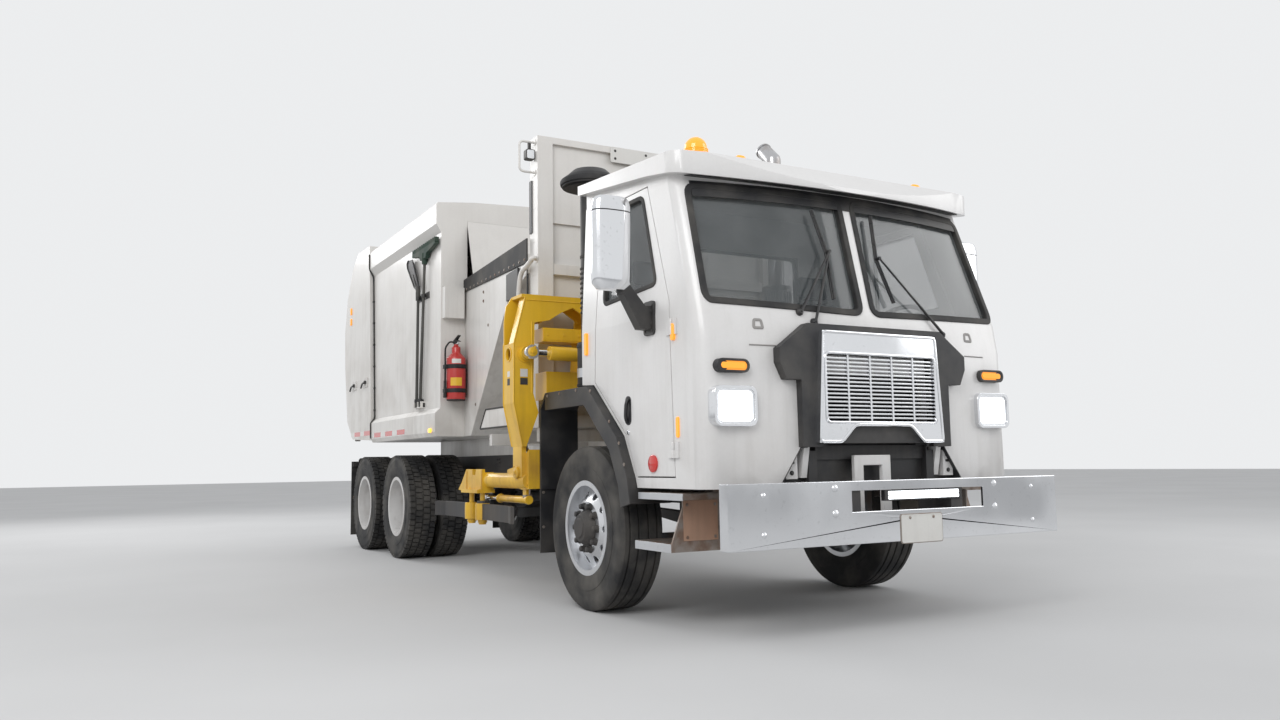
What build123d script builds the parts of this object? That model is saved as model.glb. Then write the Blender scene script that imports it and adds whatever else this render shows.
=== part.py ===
from build123d import *
import os
from math import cos, hypot, pi, sin

os.makedirs("parts", exist_ok=True)

# Side-loading refuse truck with a lift arm between cab and hopper, in millimetres.
# X points to the driver's side, the kerb side is -X, Y points to the rear, Z points up.
# Lengths along Y are counted from the front axle. Each piece is moved when it is written,
# so that the origin is on the ground under the middle of the truck.

# Overall
BUMPER_FRONT = -1675
TAILGATE_REAR = 6750
MIDDLE_Y = (BUMPER_FRONT + TAILGATE_REAR) / 2
SEAT = 0.3
MOVING_GAP = 6

# Wheels
TYRE_R = 525
WHEELBASE = 5100
TANDEM = 1320
REAR_AXLES = (WHEELBASE - TANDEM / 2, WHEELBASE + TANDEM / 2)
WHEEL_FACE = 1192
FRONT_TYRE_W = 300
REAR_TYRE_W = 279
DUAL_SPACING = 340
RIM_R = 286
RIM_FLANGE_R = 303
RIM_WALL = 16
DISC_T = 14
SPINDLE_R = 42
BEARING_GAP = 0.1
DRUM_R = 208

# Frame
RAIL_X = 430
RAIL_H = 270
RAIL_TOP = 1030
RAIL_BOTTOM = RAIL_TOP - RAIL_H
RAIL_T = 10
RAIL_FLANGE = 90
RAIL_FRONT = -1400
MUD_Y = REAR_AXLES[1] + TYRE_R + 90
HANGER_D = 40
RAIL_REAR = MUD_Y - HANGER_D

# Steering
KINGPIN_X = 876
KINGPIN_R = 24
STEER_ARM_Y = 240
STEER_ARM_IN = 70

# Cab
CAB_HALF = 1170
CAB_REAR = 70
CAB_BOTTOM = 790
CAB_WALL = 48
DOOR_GAP = 8
CAB_PIVOT = (-1345, 930)
# height, half width, front at the middle, front beside the corner, corner radius
CAB_SECTIONS = (
    (CAB_BOTTOM, CAB_HALF - 5, -1440, -1395, 105),
    (1600, CAB_HALF, -1428, -1385, 100),
    (1790, CAB_HALF, -1396, -1350, 90),
    (2640, CAB_HALF - 40, -1192, -1060, 80),
)


def block(x0, x1, y0, y1, z0, z1):
    """A box between two corners."""
    size = (abs(x1 - x0), abs(y1 - y0), abs(z1 - z0))
    return Pos((x0 + x1) / 2, (y0 + y1) / 2, (z0 + z1) / 2) * Box(*size)


def prism(points, way):
    """A flat outline pushed along one way."""
    outline = Wire.make_polygon([Vector(*point) for point in points], close=True)
    return Part() + Solid.extrude(Face(outline), Vector(*way))


def along_x(points, x0, x1):
    """An outline of (y, z) points from x0 to x1."""
    return prism([(x0, y, z) for y, z in points], (x1 - x0, 0, 0))


def along_y(points, y0, y1):
    """An outline of (x, z) points from y0 to y1."""
    return prism([(x, y0, z) for x, z in points], (0, y1 - y0, 0))


def along_z(points, z0, z1):
    """An outline of (x, y) points from z0 to z1."""
    return prism([(x, y, z0) for x, y in points], (0, 0, z1 - z0))


def bar(start, end, radius):
    """A round bar between two points."""
    line = Vector(*end) - Vector(*start)
    return Plane(origin=start, z_dir=line) * extrude(Circle(radius), line.length)


def ring(start, end, outer, inner):
    """A round tube between two points."""
    return bar(start, end, outer) - bar(start, end, inner)


def spun(points, middle, way=(1, 0, 0)):
    """An outline of (along, radius) points turned about an axis through middle."""
    axis = Vector(*way)
    across = Vector(0, 0, 1) if abs(axis.Z) < 0.5 else Vector(1, 0, 0)
    centre = Vector(*middle)
    corners = [centre + axis * along + across * radius for along, radius in points]
    face = Face(Wire.make_polygon(corners, close=True))
    return Part() + Solid.revolve(face, 360, Axis(centre, axis))


def mirrored(shape):
    """The same shape on the other side of the truck."""
    return mirror(shape, Plane.YZ)


def both_sides(shape):
    return [shape, mirrored(shape)]


def offset_path(points, distance):
    """The (y, z) path moved to its left by a distance, mitred at its corners."""
    moved = []
    for index, (y, z) in enumerate(points):
        before = points[max(index - 1, 0)]
        after = points[min(index + 1, len(points) - 1)]
        sides = []
        for first, last in ((before, (y, z)), ((y, z), after)):
            dy, dz = last[0] - first[0], last[1] - first[1]
            length = hypot(dy, dz)
            if length:
                sides.append((-dz / length, dy / length))
        ny = sum(side[0] for side in sides) / len(sides)
        nz = sum(side[1] for side in sides) / len(sides)
        scale = distance / (ny * ny + nz * nz)
        moved.append((y + ny * scale, z + nz * scale))
    return moved


def strip(points, thickness):
    """A closed outline that follows a path with one thickness."""
    return points + offset_path(points, thickness)[::-1]


def write(name, *shapes):
    """Joins what belongs to one node, moves it to the origin and writes it."""
    solids = []
    for shape in shapes:
        solids += (Pos(0, -MIDDLE_Y, 0) * shape).solids()
    export_step(Compound(children=solids), f"parts/{name}.step")


# Tyres and rims

TYRE_SHOULDER = 34
BEAD_IN = 24


def tyre(centre_x, y, width):
    """A plain tyre on its rim, its outline as straight runs."""
    half = width / 2
    bead = half - BEAD_IN
    outline = (
        (-bead, RIM_R),
        (-bead, RIM_FLANGE_R + SEAT),
        (-half, RIM_FLANGE_R + 60),
        (-half, TYRE_R - 70),
        (-half + TYRE_SHOULDER, TYRE_R),
        (half - TYRE_SHOULDER, TYRE_R),
        (half, TYRE_R - 70),
        (half, RIM_FLANGE_R + 60),
        (bead, RIM_FLANGE_R + SEAT),
        (bead, RIM_R),
    )
    return spun(outline, (centre_x, y, TYRE_R))


def rim_barrel(centre_x, y, width):
    """The rim under one tyre with its two flanges."""
    half = width / 2 - BEAD_IN
    lip = 13
    outline = (
        (-half - lip, RIM_FLANGE_R),
        (-half, RIM_FLANGE_R),
        (-half, RIM_R - SEAT),
        (half, RIM_R - SEAT),
        (half, RIM_FLANGE_R),
        (half + lip, RIM_FLANGE_R),
        (half + lip, RIM_R - RIM_WALL),
        (-half - lip, RIM_R - RIM_WALL),
    )
    return spun(outline, (centre_x, y, TYRE_R))


HAND_HOLES = 10
HAND_HOLE_R = 27
HAND_HOLE_CIRCLE = 212
REAR_HOLE_R = 15
REAR_HOLE_CIRCLE = 236
HUB_R = 112
NUT_CIRCLE = 142
NUT_R = 17
NUTS = 10


def round_table(count, radius):
    """Places spread round a circle, as (y, z) steps."""
    return [(radius * cos(2 * pi * i / count), radius * sin(2 * pi * i / count)) for i in range(count)]


def front_wheel():
    """The driver's side front rim with its hub and drum, turned out to the wheel's face."""
    centre = WHEEL_FACE - FRONT_TYRE_W / 2 + BEAD_IN - 13
    rim = rim_barrel(centre, 0, FRONT_TYRE_W)
    inner = RIM_R - RIM_WALL
    disc_x = WHEEL_FACE - 30
    disc = spun(
        (
            (disc_x - 70, inner + 1),
            (disc_x - 52, inner + 1),
            (disc_x + DISC_T, HAND_HOLE_CIRCLE - 45),
            (disc_x + DISC_T, SPINDLE_R + BEARING_GAP),
            (disc_x, SPINDLE_R + BEARING_GAP),
            (disc_x, HAND_HOLE_CIRCLE - 45),
        ),
        (0, 0, TYRE_R),
    )
    for dy, dz in round_table(HAND_HOLES, HAND_HOLE_CIRCLE):
        disc -= bar((disc_x - 90, dy, TYRE_R + dz), (disc_x + 40, dy, TYRE_R + dz), HAND_HOLE_R)
    hub = spun(
        (
            (disc_x - 60, SPINDLE_R + BEARING_GAP),
            (disc_x - 60, HUB_R),
            (disc_x + 20, HUB_R),
            (disc_x + 62, HUB_R - 30),
            (disc_x + 70, 0),
            (disc_x + 34, 0),
            (disc_x + 34, SPINDLE_R + BEARING_GAP),
        ),
        (0, 0, TYRE_R),
    )
    drum = spun(
        (
            (disc_x - 60, SPINDLE_R + 40),
            (disc_x, SPINDLE_R + 40),
            (disc_x, 165),
            (disc_x - 60, DRUM_R),
            (WHEEL_FACE - FRONT_TYRE_W + 50, DRUM_R),
            (WHEEL_FACE - FRONT_TYRE_W + 50, DRUM_R - 16),
            (disc_x - 76, DRUM_R - 16),
        ),
        (0, 0, TYRE_R),
    )
    wheel = rim + disc + hub + drum
    for dy, dz in round_table(NUTS, NUT_CIRCLE):
        wheel += bar((disc_x, dy, TYRE_R + dz), (disc_x + 38, dy, TYRE_R + dz), NUT_R)
    return wheel, centre


def rear_wheel(y):
    """The driver's side pair of rear rims on one hub, with their drum."""
    outer = WHEEL_FACE - REAR_TYRE_W / 2 + BEAD_IN - 13
    inner = outer - DUAL_SPACING
    seam = (outer + inner) / 2
    wheel = rim_barrel(outer, y, REAR_TYRE_W) + rim_barrel(inner, y, REAR_TYRE_W)
    reach = REAR_TYRE_W / 2 - BEAD_IN
    dish = spun(
        (
            (seam - DISC_T, SPINDLE_R + BEARING_GAP),
            (seam - DISC_T, 190),
            (inner + reach - 30, RIM_R - RIM_WALL + 1),
            (inner + reach, RIM_R - RIM_WALL + 1),
            (seam, 205),
            (outer - reach, RIM_R - RIM_WALL + 1),
            (outer - reach + 30, RIM_R - RIM_WALL + 1),
            (seam + DISC_T, 190),
            (seam + DISC_T, SPINDLE_R + BEARING_GAP),
        ),
        (0, y, TYRE_R),
    )
    for dy, dz in round_table(HAND_HOLES, REAR_HOLE_CIRCLE):
        dish -= bar((seam - 90, y + dy, TYRE_R + dz), (seam + 90, y + dy, TYRE_R + dz), REAR_HOLE_R)
    hub = spun(
        (
            (seam - 60, SPINDLE_R + BEARING_GAP),
            (seam - 60, HUB_R),
            (seam + 130, HUB_R),
            (seam + 175, HUB_R - 30),
            (seam + 182, 0),
            (seam + 150, 0),
            (seam + 150, SPINDLE_R + BEARING_GAP),
        ),
        (0, y, TYRE_R),
    )
    drum = spun(
        (
            (seam - DISC_T - 1, SPINDLE_R + 40),
            (seam - DISC_T + 2, 170),
            (seam - 60, DRUM_R),
            (seam - 250, DRUM_R),
            (seam - 250, DRUM_R - 16),
            (seam - 66, DRUM_R - 16),
            (seam - 40, SPINDLE_R + 40),
        ),
        (0, y, TYRE_R),
    )
    wheel += dish + hub + drum
    for dy, dz in round_table(NUTS, NUT_CIRCLE):
        wheel += bar((seam, y + dy, TYRE_R + dz), (seam + 48, y + dy, TYRE_R + dz), NUT_R)
    return wheel, outer, inner, seam


front_rim, FRONT_TYRE_X = front_wheel()
front_tyre = tyre(FRONT_TYRE_X, 0, FRONT_TYRE_W)
write("rim_front_street", front_rim)
write("rim_front_kerb", mirrored(front_rim))
write("tyre_front_street", front_tyre)
write("tyre_front_kerb", mirrored(front_tyre))
for place, axle_y in zip(("mid", "rear"), REAR_AXLES):
    rims, OUTER_X, INNER_X, DUAL_SEAM = rear_wheel(axle_y)
    tyres = [tyre(OUTER_X, axle_y, REAR_TYRE_W), tyre(INNER_X, axle_y, REAR_TYRE_W)]
    write(f"rims_{place}_street", rims)
    write(f"rims_{place}_kerb", mirrored(rims))
    write(f"tyres_{place}_street", *tyres)
    write(f"tyres_{place}_kerb", *[mirrored(item) for item in tyres])

# Frame rails with cross members, bumper brackets and cab hinge ears

CROSS_MEMBERS = (RAIL_FRONT + 70, 1350, 2500, 3500, WHEELBASE, RAIL_REAR - 335)
FLAP_TOP = RAIL_TOP - 30
EAR_GAP = 40
EAR_X = 500
CAB_PIN_R = 18
BUMPER_T = 14
BUMPER_REAR = BUMPER_FRONT + BUMPER_T

rail = block(RAIL_X - RAIL_T, RAIL_X, RAIL_FRONT, RAIL_REAR, RAIL_BOTTOM, RAIL_TOP)
for z0 in (RAIL_BOTTOM, RAIL_TOP - RAIL_T):
    rail += block(RAIL_X - RAIL_FLANGE, RAIL_X, RAIL_FRONT, RAIL_REAR, z0, z0 + RAIL_T)
rail += block(RAIL_X - RAIL_FLANGE, RAIL_X, BUMPER_REAR, RAIL_FRONT, RAIL_BOTTOM - 130, RAIL_BOTTOM + 60)
rail += block(
    RAIL_X, EAR_X - EAR_GAP / 2, CAB_PIVOT[0] - 55, CAB_PIVOT[0] + 60, RAIL_BOTTOM + 20, RAIL_TOP - 40
)
rail += bar((EAR_X - EAR_GAP / 2, *CAB_PIVOT), (EAR_X + EAR_GAP, *CAB_PIVOT), CAB_PIN_R)
frame = rail + mirrored(rail)
for y in CROSS_MEMBERS:
    frame += block(-RAIL_X + RAIL_T, RAIL_X - RAIL_T, y - 45, y + 45, RAIL_TOP - 90, RAIL_TOP - RAIL_T)

# Bar that the rear flaps hang from, and the guard under it
HANGER_HALF = 1190
GUARD = (-590, 590, 480, 560)
frame += block(-HANGER_HALF, HANGER_HALF, RAIL_REAR, MUD_Y, FLAP_TOP - 60, FLAP_TOP)
frame += block(GUARD[0], GUARD[1], RAIL_REAR, MUD_Y + 30, GUARD[2], GUARD[3])
for side in (-1, 1):
    frame += block(side * (RAIL_X - 50), side * RAIL_X, RAIL_REAR, MUD_Y, GUARD[2], FLAP_TOP - 50)

# Axles, springs and walking beams

BEAM_HALF_W = 45
BEAM_BOTTOM = TYRE_R - 175
BEAM_TOP = TYRE_R - 60
KNUCKLE_EAR_T = 55
BOSS_HALF_H = 78

NECK = 185
front_axle = block(-KINGPIN_X + NECK, KINGPIN_X - NECK, -BEAM_HALF_W, BEAM_HALF_W, BEAM_BOTTOM, BEAM_TOP)
for side in (-1, 1):
    neck = (
        (NECK, BEAM_BOTTOM),
        (125, TYRE_R - BOSS_HALF_H - 12),
        (54, TYRE_R - BOSS_HALF_H - 12),
        (54, TYRE_R - BOSS_HALF_H),
        (30, TYRE_R - BOSS_HALF_H),
        (30, TYRE_R + BOSS_HALF_H),
        (62, TYRE_R + BOSS_HALF_H),
        (NECK, BEAM_TOP),
    )
    end = along_y([(side * (KINGPIN_X - inward), z) for inward, z in neck], -BEAM_HALF_W, BEAM_HALF_W)
    boss = bar(
        (side * KINGPIN_X, 0, TYRE_R - BOSS_HALF_H), (side * KINGPIN_X, 0, TYRE_R + BOSS_HALF_H), BEAM_HALF_W
    )
    front_axle += end + boss
for side in (-1, 1):
    reach = BOSS_HALF_H + KNUCKLE_EAR_T + 30
    front_axle += bar((side * KINGPIN_X, 0, TYRE_R - reach), (side * KINGPIN_X, 0, TYRE_R + reach), KINGPIN_R)

SPRING_X = RAIL_X - RAIL_FLANGE / 2
SPRING_HALF_W = 42
SPRING_REACH = 720
SPRING_BOTTOM = BEAM_TOP + 60
spring = along_x(
    (
        (-SPRING_REACH, SPRING_BOTTOM + 70),
        (-SPRING_REACH, SPRING_BOTTOM + 95),
        (0, SPRING_BOTTOM + 70),
        (SPRING_REACH, SPRING_BOTTOM + 95),
        (SPRING_REACH, SPRING_BOTTOM + 70),
        (130, SPRING_BOTTOM),
        (-130, SPRING_BOTTOM),
    ),
    SPRING_X - SPRING_HALF_W,
    SPRING_X + SPRING_HALF_W,
)
spring += block(
    SPRING_X - SPRING_HALF_W, SPRING_X + SPRING_HALF_W, -BEAM_HALF_W, BEAM_HALF_W, BEAM_TOP, SPRING_BOTTOM
)
for side in (-1, 1):
    y = side * (SPRING_REACH - 30)
    spring += block(
        SPRING_X - 30, SPRING_X + 30, y - 30, y + 30, SPRING_BOTTOM + 80, RAIL_BOTTOM
    )

AXLE_TUBE_R = 64
WALKING_X = 505
WALKING_HALF_W = 42
WALKING_TOP = TYRE_R - AXLE_TUBE_R - SEAT
walking = along_x(
    (
        (REAR_AXLES[0] - 90, WALKING_TOP),
        (REAR_AXLES[1] + 90, WALKING_TOP),
        (REAR_AXLES[1] + 70, WALKING_TOP - 80),
        (WHEELBASE, WALKING_TOP - 140),
        (REAR_AXLES[0] - 70, WALKING_TOP - 80),
    ),
    WALKING_X - WALKING_HALF_W,
    WALKING_X + WALKING_HALF_W,
)
walking += along_x(
    (
        (WHEELBASE - 120, WALKING_TOP),
        (WHEELBASE + 120, WALKING_TOP),
        (WHEELBASE + 260, RAIL_TOP - 40),
        (WHEELBASE - 260, RAIL_TOP - 40),
    ),
    RAIL_X,
    WALKING_X + 20,
)
write("suspension", *both_sides(spring), *both_sides(walking))

BOWL_R = 190
NOSE_REACH = 330
SHAFT_X = 60
SHAFT_Z = TYRE_R + 40
rear_axles = []
for y in REAR_AXLES:
    housing = bar((-DUAL_SEAM + 90, y, TYRE_R), (DUAL_SEAM - 90, y, TYRE_R), AXLE_TUBE_R)
    housing += bar((-DUAL_SEAM - 140, y, TYRE_R), (DUAL_SEAM + 140, y, TYRE_R), SPINDLE_R)
    bowl = ((-150, AXLE_TUBE_R - 5), (-80, BOWL_R), (80, BOWL_R), (150, AXLE_TUBE_R - 5))
    housing += spun(bowl, (0, y, TYRE_R))
    housing += bar((SHAFT_X, y - NOSE_REACH, SHAFT_Z), (SHAFT_X, y, SHAFT_Z), 85)
    rear_axles.append(housing)
SHAFT_R = 50
GEARBOX_END = 1150
GEARBOX_Z = RAIL_BOTTOM + 120
flange_end = (SHAFT_X, GEARBOX_END + 40, GEARBOX_Z)
rear_axles[0] += bar((SHAFT_X, GEARBOX_END, GEARBOX_Z), flange_end, SHAFT_R + 12)
nose_end = (SHAFT_X, REAR_AXLES[0] - NOSE_REACH + 10, SHAFT_Z)
rear_axles[0] += bar((SHAFT_X, GEARBOX_END + 25, GEARBOX_Z), nose_end, SHAFT_R)
link_end = (SHAFT_X, REAR_AXLES[1] - NOSE_REACH + 5, SHAFT_Z)
link = bar((SHAFT_X, REAR_AXLES[0] + 60, SHAFT_Z), link_end, SHAFT_R)
write("rear_axles", rear_axles[0] + link + rear_axles[1])

# Engine and gearbox as plain blocks

ENGINE_FRONT = -1050
ENGINE_TOP = 1370
engine = block(-295, 295, ENGINE_FRONT, 300, BEAM_TOP + 130, 1060)
engine += block(-330, 330, ENGINE_FRONT, 300, 1050, ENGINE_TOP)
engine += block(-210, 210, 290, GEARBOX_END, 640, 1040)
write("engine", engine)

# Steering knuckles and tie rod


def knuckle(side):
    """The stub axle of one front wheel with its two ears and its arm to the tie rod."""
    top = TYRE_R + BOSS_HALF_H + SEAT
    bottom = TYRE_R - BOSS_HALF_H - SEAT
    shape = bar((KINGPIN_X, 0, top), (KINGPIN_X, 0, top + KNUCKLE_EAR_T), BEAM_HALF_W)
    shape += bar((KINGPIN_X, 0, bottom - KNUCKLE_EAR_T), (KINGPIN_X, 0, bottom), BEAM_HALF_W)
    stem_in = KINGPIN_X + BEAM_HALF_W + MOVING_GAP
    stem_out = stem_in + 26
    low, high = bottom - KNUCKLE_EAR_T, top + KNUCKLE_EAR_T
    shape += block(stem_in, stem_out, -BEAM_HALF_W, BEAM_HALF_W, low, high)
    shape += block(KINGPIN_X, stem_out, -BEAM_HALF_W + 5, BEAM_HALF_W - 5, top, high)
    shape += block(KINGPIN_X, stem_out, -BEAM_HALF_W + 5, BEAM_HALF_W - 5, low, bottom)
    shape += bar((stem_in, 0, TYRE_R), (WHEEL_FACE - 4, 0, TYRE_R), SPINDLE_R)
    shape += ring((stem_in + 4, 0, TYRE_R), (stem_in + 16, 0, TYRE_R), DRUM_R - 22, SPINDLE_R - 2)
    shape += along_z(
        (
            (KINGPIN_X - 30, 0),
            (KINGPIN_X + 40, 0),
            (KINGPIN_X + 10, STEER_ARM_Y - 40),
            (KINGPIN_X - STEER_ARM_IN + 30, STEER_ARM_Y + 30),
            (KINGPIN_X - STEER_ARM_IN - 30, STEER_ARM_Y + 30),
            (KINGPIN_X - STEER_ARM_IN - 30, STEER_ARM_Y - 30),
        ),
        low,
        low + 30,
    )
    shape -= bar((KINGPIN_X, 0, low - 50), (KINGPIN_X, 0, high + 50), KINGPIN_R + BEARING_GAP)
    return shape if side > 0 else mirrored(shape)


for side, name in ((1, "street"), (-1, "kerb")):
    write(f"knuckle_{name}", knuckle(side))
write("front_axle", front_axle)

TIE_TOP = TYRE_R - BOSS_HALF_H - SEAT - KNUCKLE_EAR_T - SEAT
TIE_R = 17
tie_x = KINGPIN_X - STEER_ARM_IN
tie = bar((-tie_x, STEER_ARM_Y, TIE_TOP - 26), (tie_x, STEER_ARM_Y, TIE_TOP - 26), TIE_R)
for side in (-1, 1):
    tie += bar((side * tie_x, STEER_ARM_Y, TIE_TOP - 48), (side * tie_x, STEER_ARM_Y, TIE_TOP), 28)
write("tie_rod", tie)

# Bumper

BUMPER_BOTTOM = 485
BUMPER_TOP = 823
BUMPER_HALF = 1220
BUMPER_RETURN = 75
bumper = block(-BUMPER_HALF, BUMPER_HALF, BUMPER_FRONT, BUMPER_REAR, BUMPER_BOTTOM, BUMPER_TOP)
for z0, z1 in ((BUMPER_BOTTOM, BUMPER_BOTTOM + BUMPER_T), (BUMPER_TOP - BUMPER_T, BUMPER_TOP)):
    bumper += block(-BUMPER_HALF, BUMPER_HALF, BUMPER_FRONT, BUMPER_FRONT + BUMPER_RETURN, z0, z1)
for side in (-1, 1):
    bumper += block(
        side * BUMPER_HALF,
        side * (BUMPER_HALF - BUMPER_T),
        BUMPER_FRONT,
        BUMPER_FRONT + BUMPER_RETURN,
        BUMPER_BOTTOM,
        BUMPER_TOP,
    )
SLOT = (-413, 585, 657, 770)
bumper -= block(SLOT[0], SLOT[1], BUMPER_FRONT - 5, BUMPER_REAR + 5, SLOT[2], SLOT[3])
for side in (-1, 1):
    bumper -= block(
        side * (RAIL_X - RAIL_FLANGE - 2),
        side * (RAIL_X + 2),
        BUMPER_REAR,
        BUMPER_REAR + 200,
        RAIL_BOTTOM - 132,
        RAIL_BOTTOM + 70,
    )
PLATE_X = 86.5
PLATE_HOLE_Z = 612
PLATE_HOLE_R = 3.5
PLATE_SPACING = 178
for side in (-1, 1):
    x = PLATE_X + side * PLATE_SPACING / 2
    bumper -= bar((x, BUMPER_FRONT - 5, PLATE_HOLE_Z), (x, BUMPER_REAR + 5, PLATE_HOLE_Z), PLATE_HOLE_R)
write("bumper", bumper)

# Cab


def cab_section(z, half, front, beside, radius, inset=0):
    """One level outline of the cab: a bowed front, two round corners and a flat rear."""
    half, front, beside = half - inset, front + inset, beside + inset
    radius = max(radius - inset, 20)
    start = beside + radius
    middle = radius * (1 - cos(pi / 4))
    rear = CAB_REAR - inset
    edges = [
        Line((half, rear, z), (half, start, z)),
        ThreePointArc((half, start, z), (half - middle, beside + middle, z), (half - radius, beside, z)),
        ThreePointArc((half - radius, beside, z), (0, front, z), (radius - half, beside, z)),
        ThreePointArc((radius - half, beside, z), (middle - half, beside + middle, z), (-half, start, z)),
        Line((-half, start, z), (-half, rear, z)),
        Line((-half, rear, z), (half, rear, z)),
    ]
    return Face(Wire(edges))


def cab_between(sections, inset=0):
    """The cab's form through its sections, as ruled faces."""
    pieces = Part()
    for low, high in zip(sections, sections[1:]):
        faces = [cab_section(*low, inset=inset), cab_section(*high, inset=inset)]
        pieces += Solid.make_loft([face.outer_wire() for face in faces], True)
    return pieces


cab_outer = cab_between(CAB_SECTIONS)
floor_sections = [(CAB_BOTTOM + 62, *CAB_SECTIONS[0][1:])] + list(CAB_SECTIONS[1:-1])
roof_in = (CAB_SECTIONS[-1][0] - 30, *CAB_SECTIONS[-1][1:])
cab_inner = cab_between(floor_sections + [roof_in], inset=CAB_WALL)

# The line of the wheel arch, from the door's bottom corner to the cab's rear, as (y, z)
ARCH = [(-660, CAB_BOTTOM - 20), (-632, 850), (-500, 1100), (-100, 1440), (CAB_REAR + 20, 1452)]
ARCH_ROOF = 62
arch_cut = along_x(ARCH + [(CAB_REAR + 20, CAB_BOTTOM - 20)], -CAB_HALF - 50, CAB_HALF + 50)
arch_cover = along_x(
    offset_path(ARCH, ARCH_ROOF) + [(CAB_REAR + 60, CAB_BOTTOM - 20)], -CAB_HALF - 50, CAB_HALF + 50
)
TUNNEL_HALF = 500
TUNNEL_TOP = ENGINE_TOP + 60
tunnel_cut = block(-TUNNEL_HALF, TUNNEL_HALF, -1600, CAB_REAR + 50, CAB_BOTTOM - 50, TUNNEL_TOP)
COVER_HALF = TUNNEL_HALF + CAB_WALL
tunnel_cover = block(-COVER_HALF, COVER_HALF, -1600, CAB_REAR + 50, CAB_BOTTOM - 50, TUNNEL_TOP + CAB_WALL)
cavity = cab_inner - arch_cover - tunnel_cover

# Recess under the grille, on a bulkhead in front of the foot wells, with a bracket on each side
NOSE = ((-715, CAB_BOTTOM - 20), (-552, 1012), (552, 1012), (715, CAB_BOTTOM - 20))
NOSE_BACK = -1352
NOSE_WALL = 22
BRACKET = (560, 640, 835, 990)
nose_cut = along_y(NOSE, -1600, NOSE_BACK)
nose_cover = block(-760, 760, -1600, NOSE_BACK + NOSE_WALL, CAB_BOTTOM - 20, 1012 + NOSE_WALL)
cavity -= nose_cover
brackets = block(BRACKET[0], BRACKET[1], NOSE_BACK - 48, NOSE_BACK + 1, BRACKET[2], BRACKET[3])

# Roof cap with the visor lip over the windscreen, on side walls that rise to the rear
CAP_REAR = CAB_REAR + 25
CAP_T = 62
ROOF_SIDE = (
    (-1330, 2545),
    (-1322, 2575),
    (-1190, 2705),
    (CAP_REAR, 2800),
    (CAP_REAR, 2800 - CAP_T),
    (-820, 2630),
)
roof = along_x(ROOF_SIDE, -CAB_HALF - 10, CAB_HALF + 10)
cap_face = cab_section(2400, CAB_HALF + 10, -1330, -1165, 110)
cap_plan = Part() + Solid.extrude(cap_face, Vector(0, 0, 600))
roof &= cap_plan + block(-CAB_HALF - 10, CAB_HALF + 10, 0, CAP_REAR, 2400, 3000)
UPPER_HALF = CAB_SECTIONS[-1][1] - 4
UPPER_WALL = ((-1150, 2600), (-900, 2640), (CAB_REAR, 2760), (CAB_REAR, 2600))
UPPER_ROOM = ((-1010, 2560), (-1010, 2610), (CAB_REAR - CAB_WALL, 2725), (CAB_REAR - CAB_WALL, 2560))
roof += along_x(UPPER_WALL, -UPPER_HALF, UPPER_HALF)
cavity += along_x(UPPER_ROOM, -UPPER_HALF + CAB_WALL, UPPER_HALF - CAB_WALL)
cab = (cab_outer + roof) - cavity - arch_cut - tunnel_cut - nose_cut
cab += brackets + mirrored(brackets)

# Windscreen panes, as (x, z) on the driver's side
PANE = ((48, 1800), (1085, 1822), (1098, 1860), (1062, 2520), (52, 2515))
for side in (-1, 1):
    cab -= along_y([(side * x, z) for x, z in PANE], -1700, -900)

# Doors, as (y, z)
DOOR = (
    (-1092, 850),
    (-648, 850),
    (-516, 1108),
    (-112, 1452),
    (-130, 1870),
    (-165, 2590),
    (-770, 2590),
    (-1060, 1850),
)
DOOR_WINDOW = ((-900, 1975), (-245, 1945), (-262, 2535), (-712, 2535))
DOOR_DEPTH = 62
REAR_WINDOW = (-620, 620, 1800, 2450)
door_hole = along_x(DOOR, CAB_HALF - 110, CAB_HALF + 20)
cab -= door_hole
cab -= mirrored(door_hole)
cab -= block(REAR_WINDOW[0], REAR_WINDOW[1], CAB_REAR - 100, CAB_REAR + 10, REAR_WINDOW[2], REAR_WINDOW[3])

# Cab hinge ears on the frame's pins
ear = along_x(
    (
        (CAB_PIVOT[0] - 42, CAB_PIVOT[1] - 90),
        (CAB_PIVOT[0] + 42, CAB_PIVOT[1] - 90),
        (CAB_PIVOT[0] + 42, 1030),
        (-1290, 1080),
        (-1425, 1080),
        (-1425, 1030),
    ),
    EAR_X - EAR_GAP / 2 + MOVING_GAP,
    EAR_X + EAR_GAP / 2 + MOVING_GAP,
)
bore = bar((EAR_X - 100, *CAB_PIVOT), (EAR_X + 100, *CAB_PIVOT), CAB_PIN_R + BEARING_GAP)
cab = cab + ear + mirrored(ear) - bore - mirrored(bore)

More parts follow.
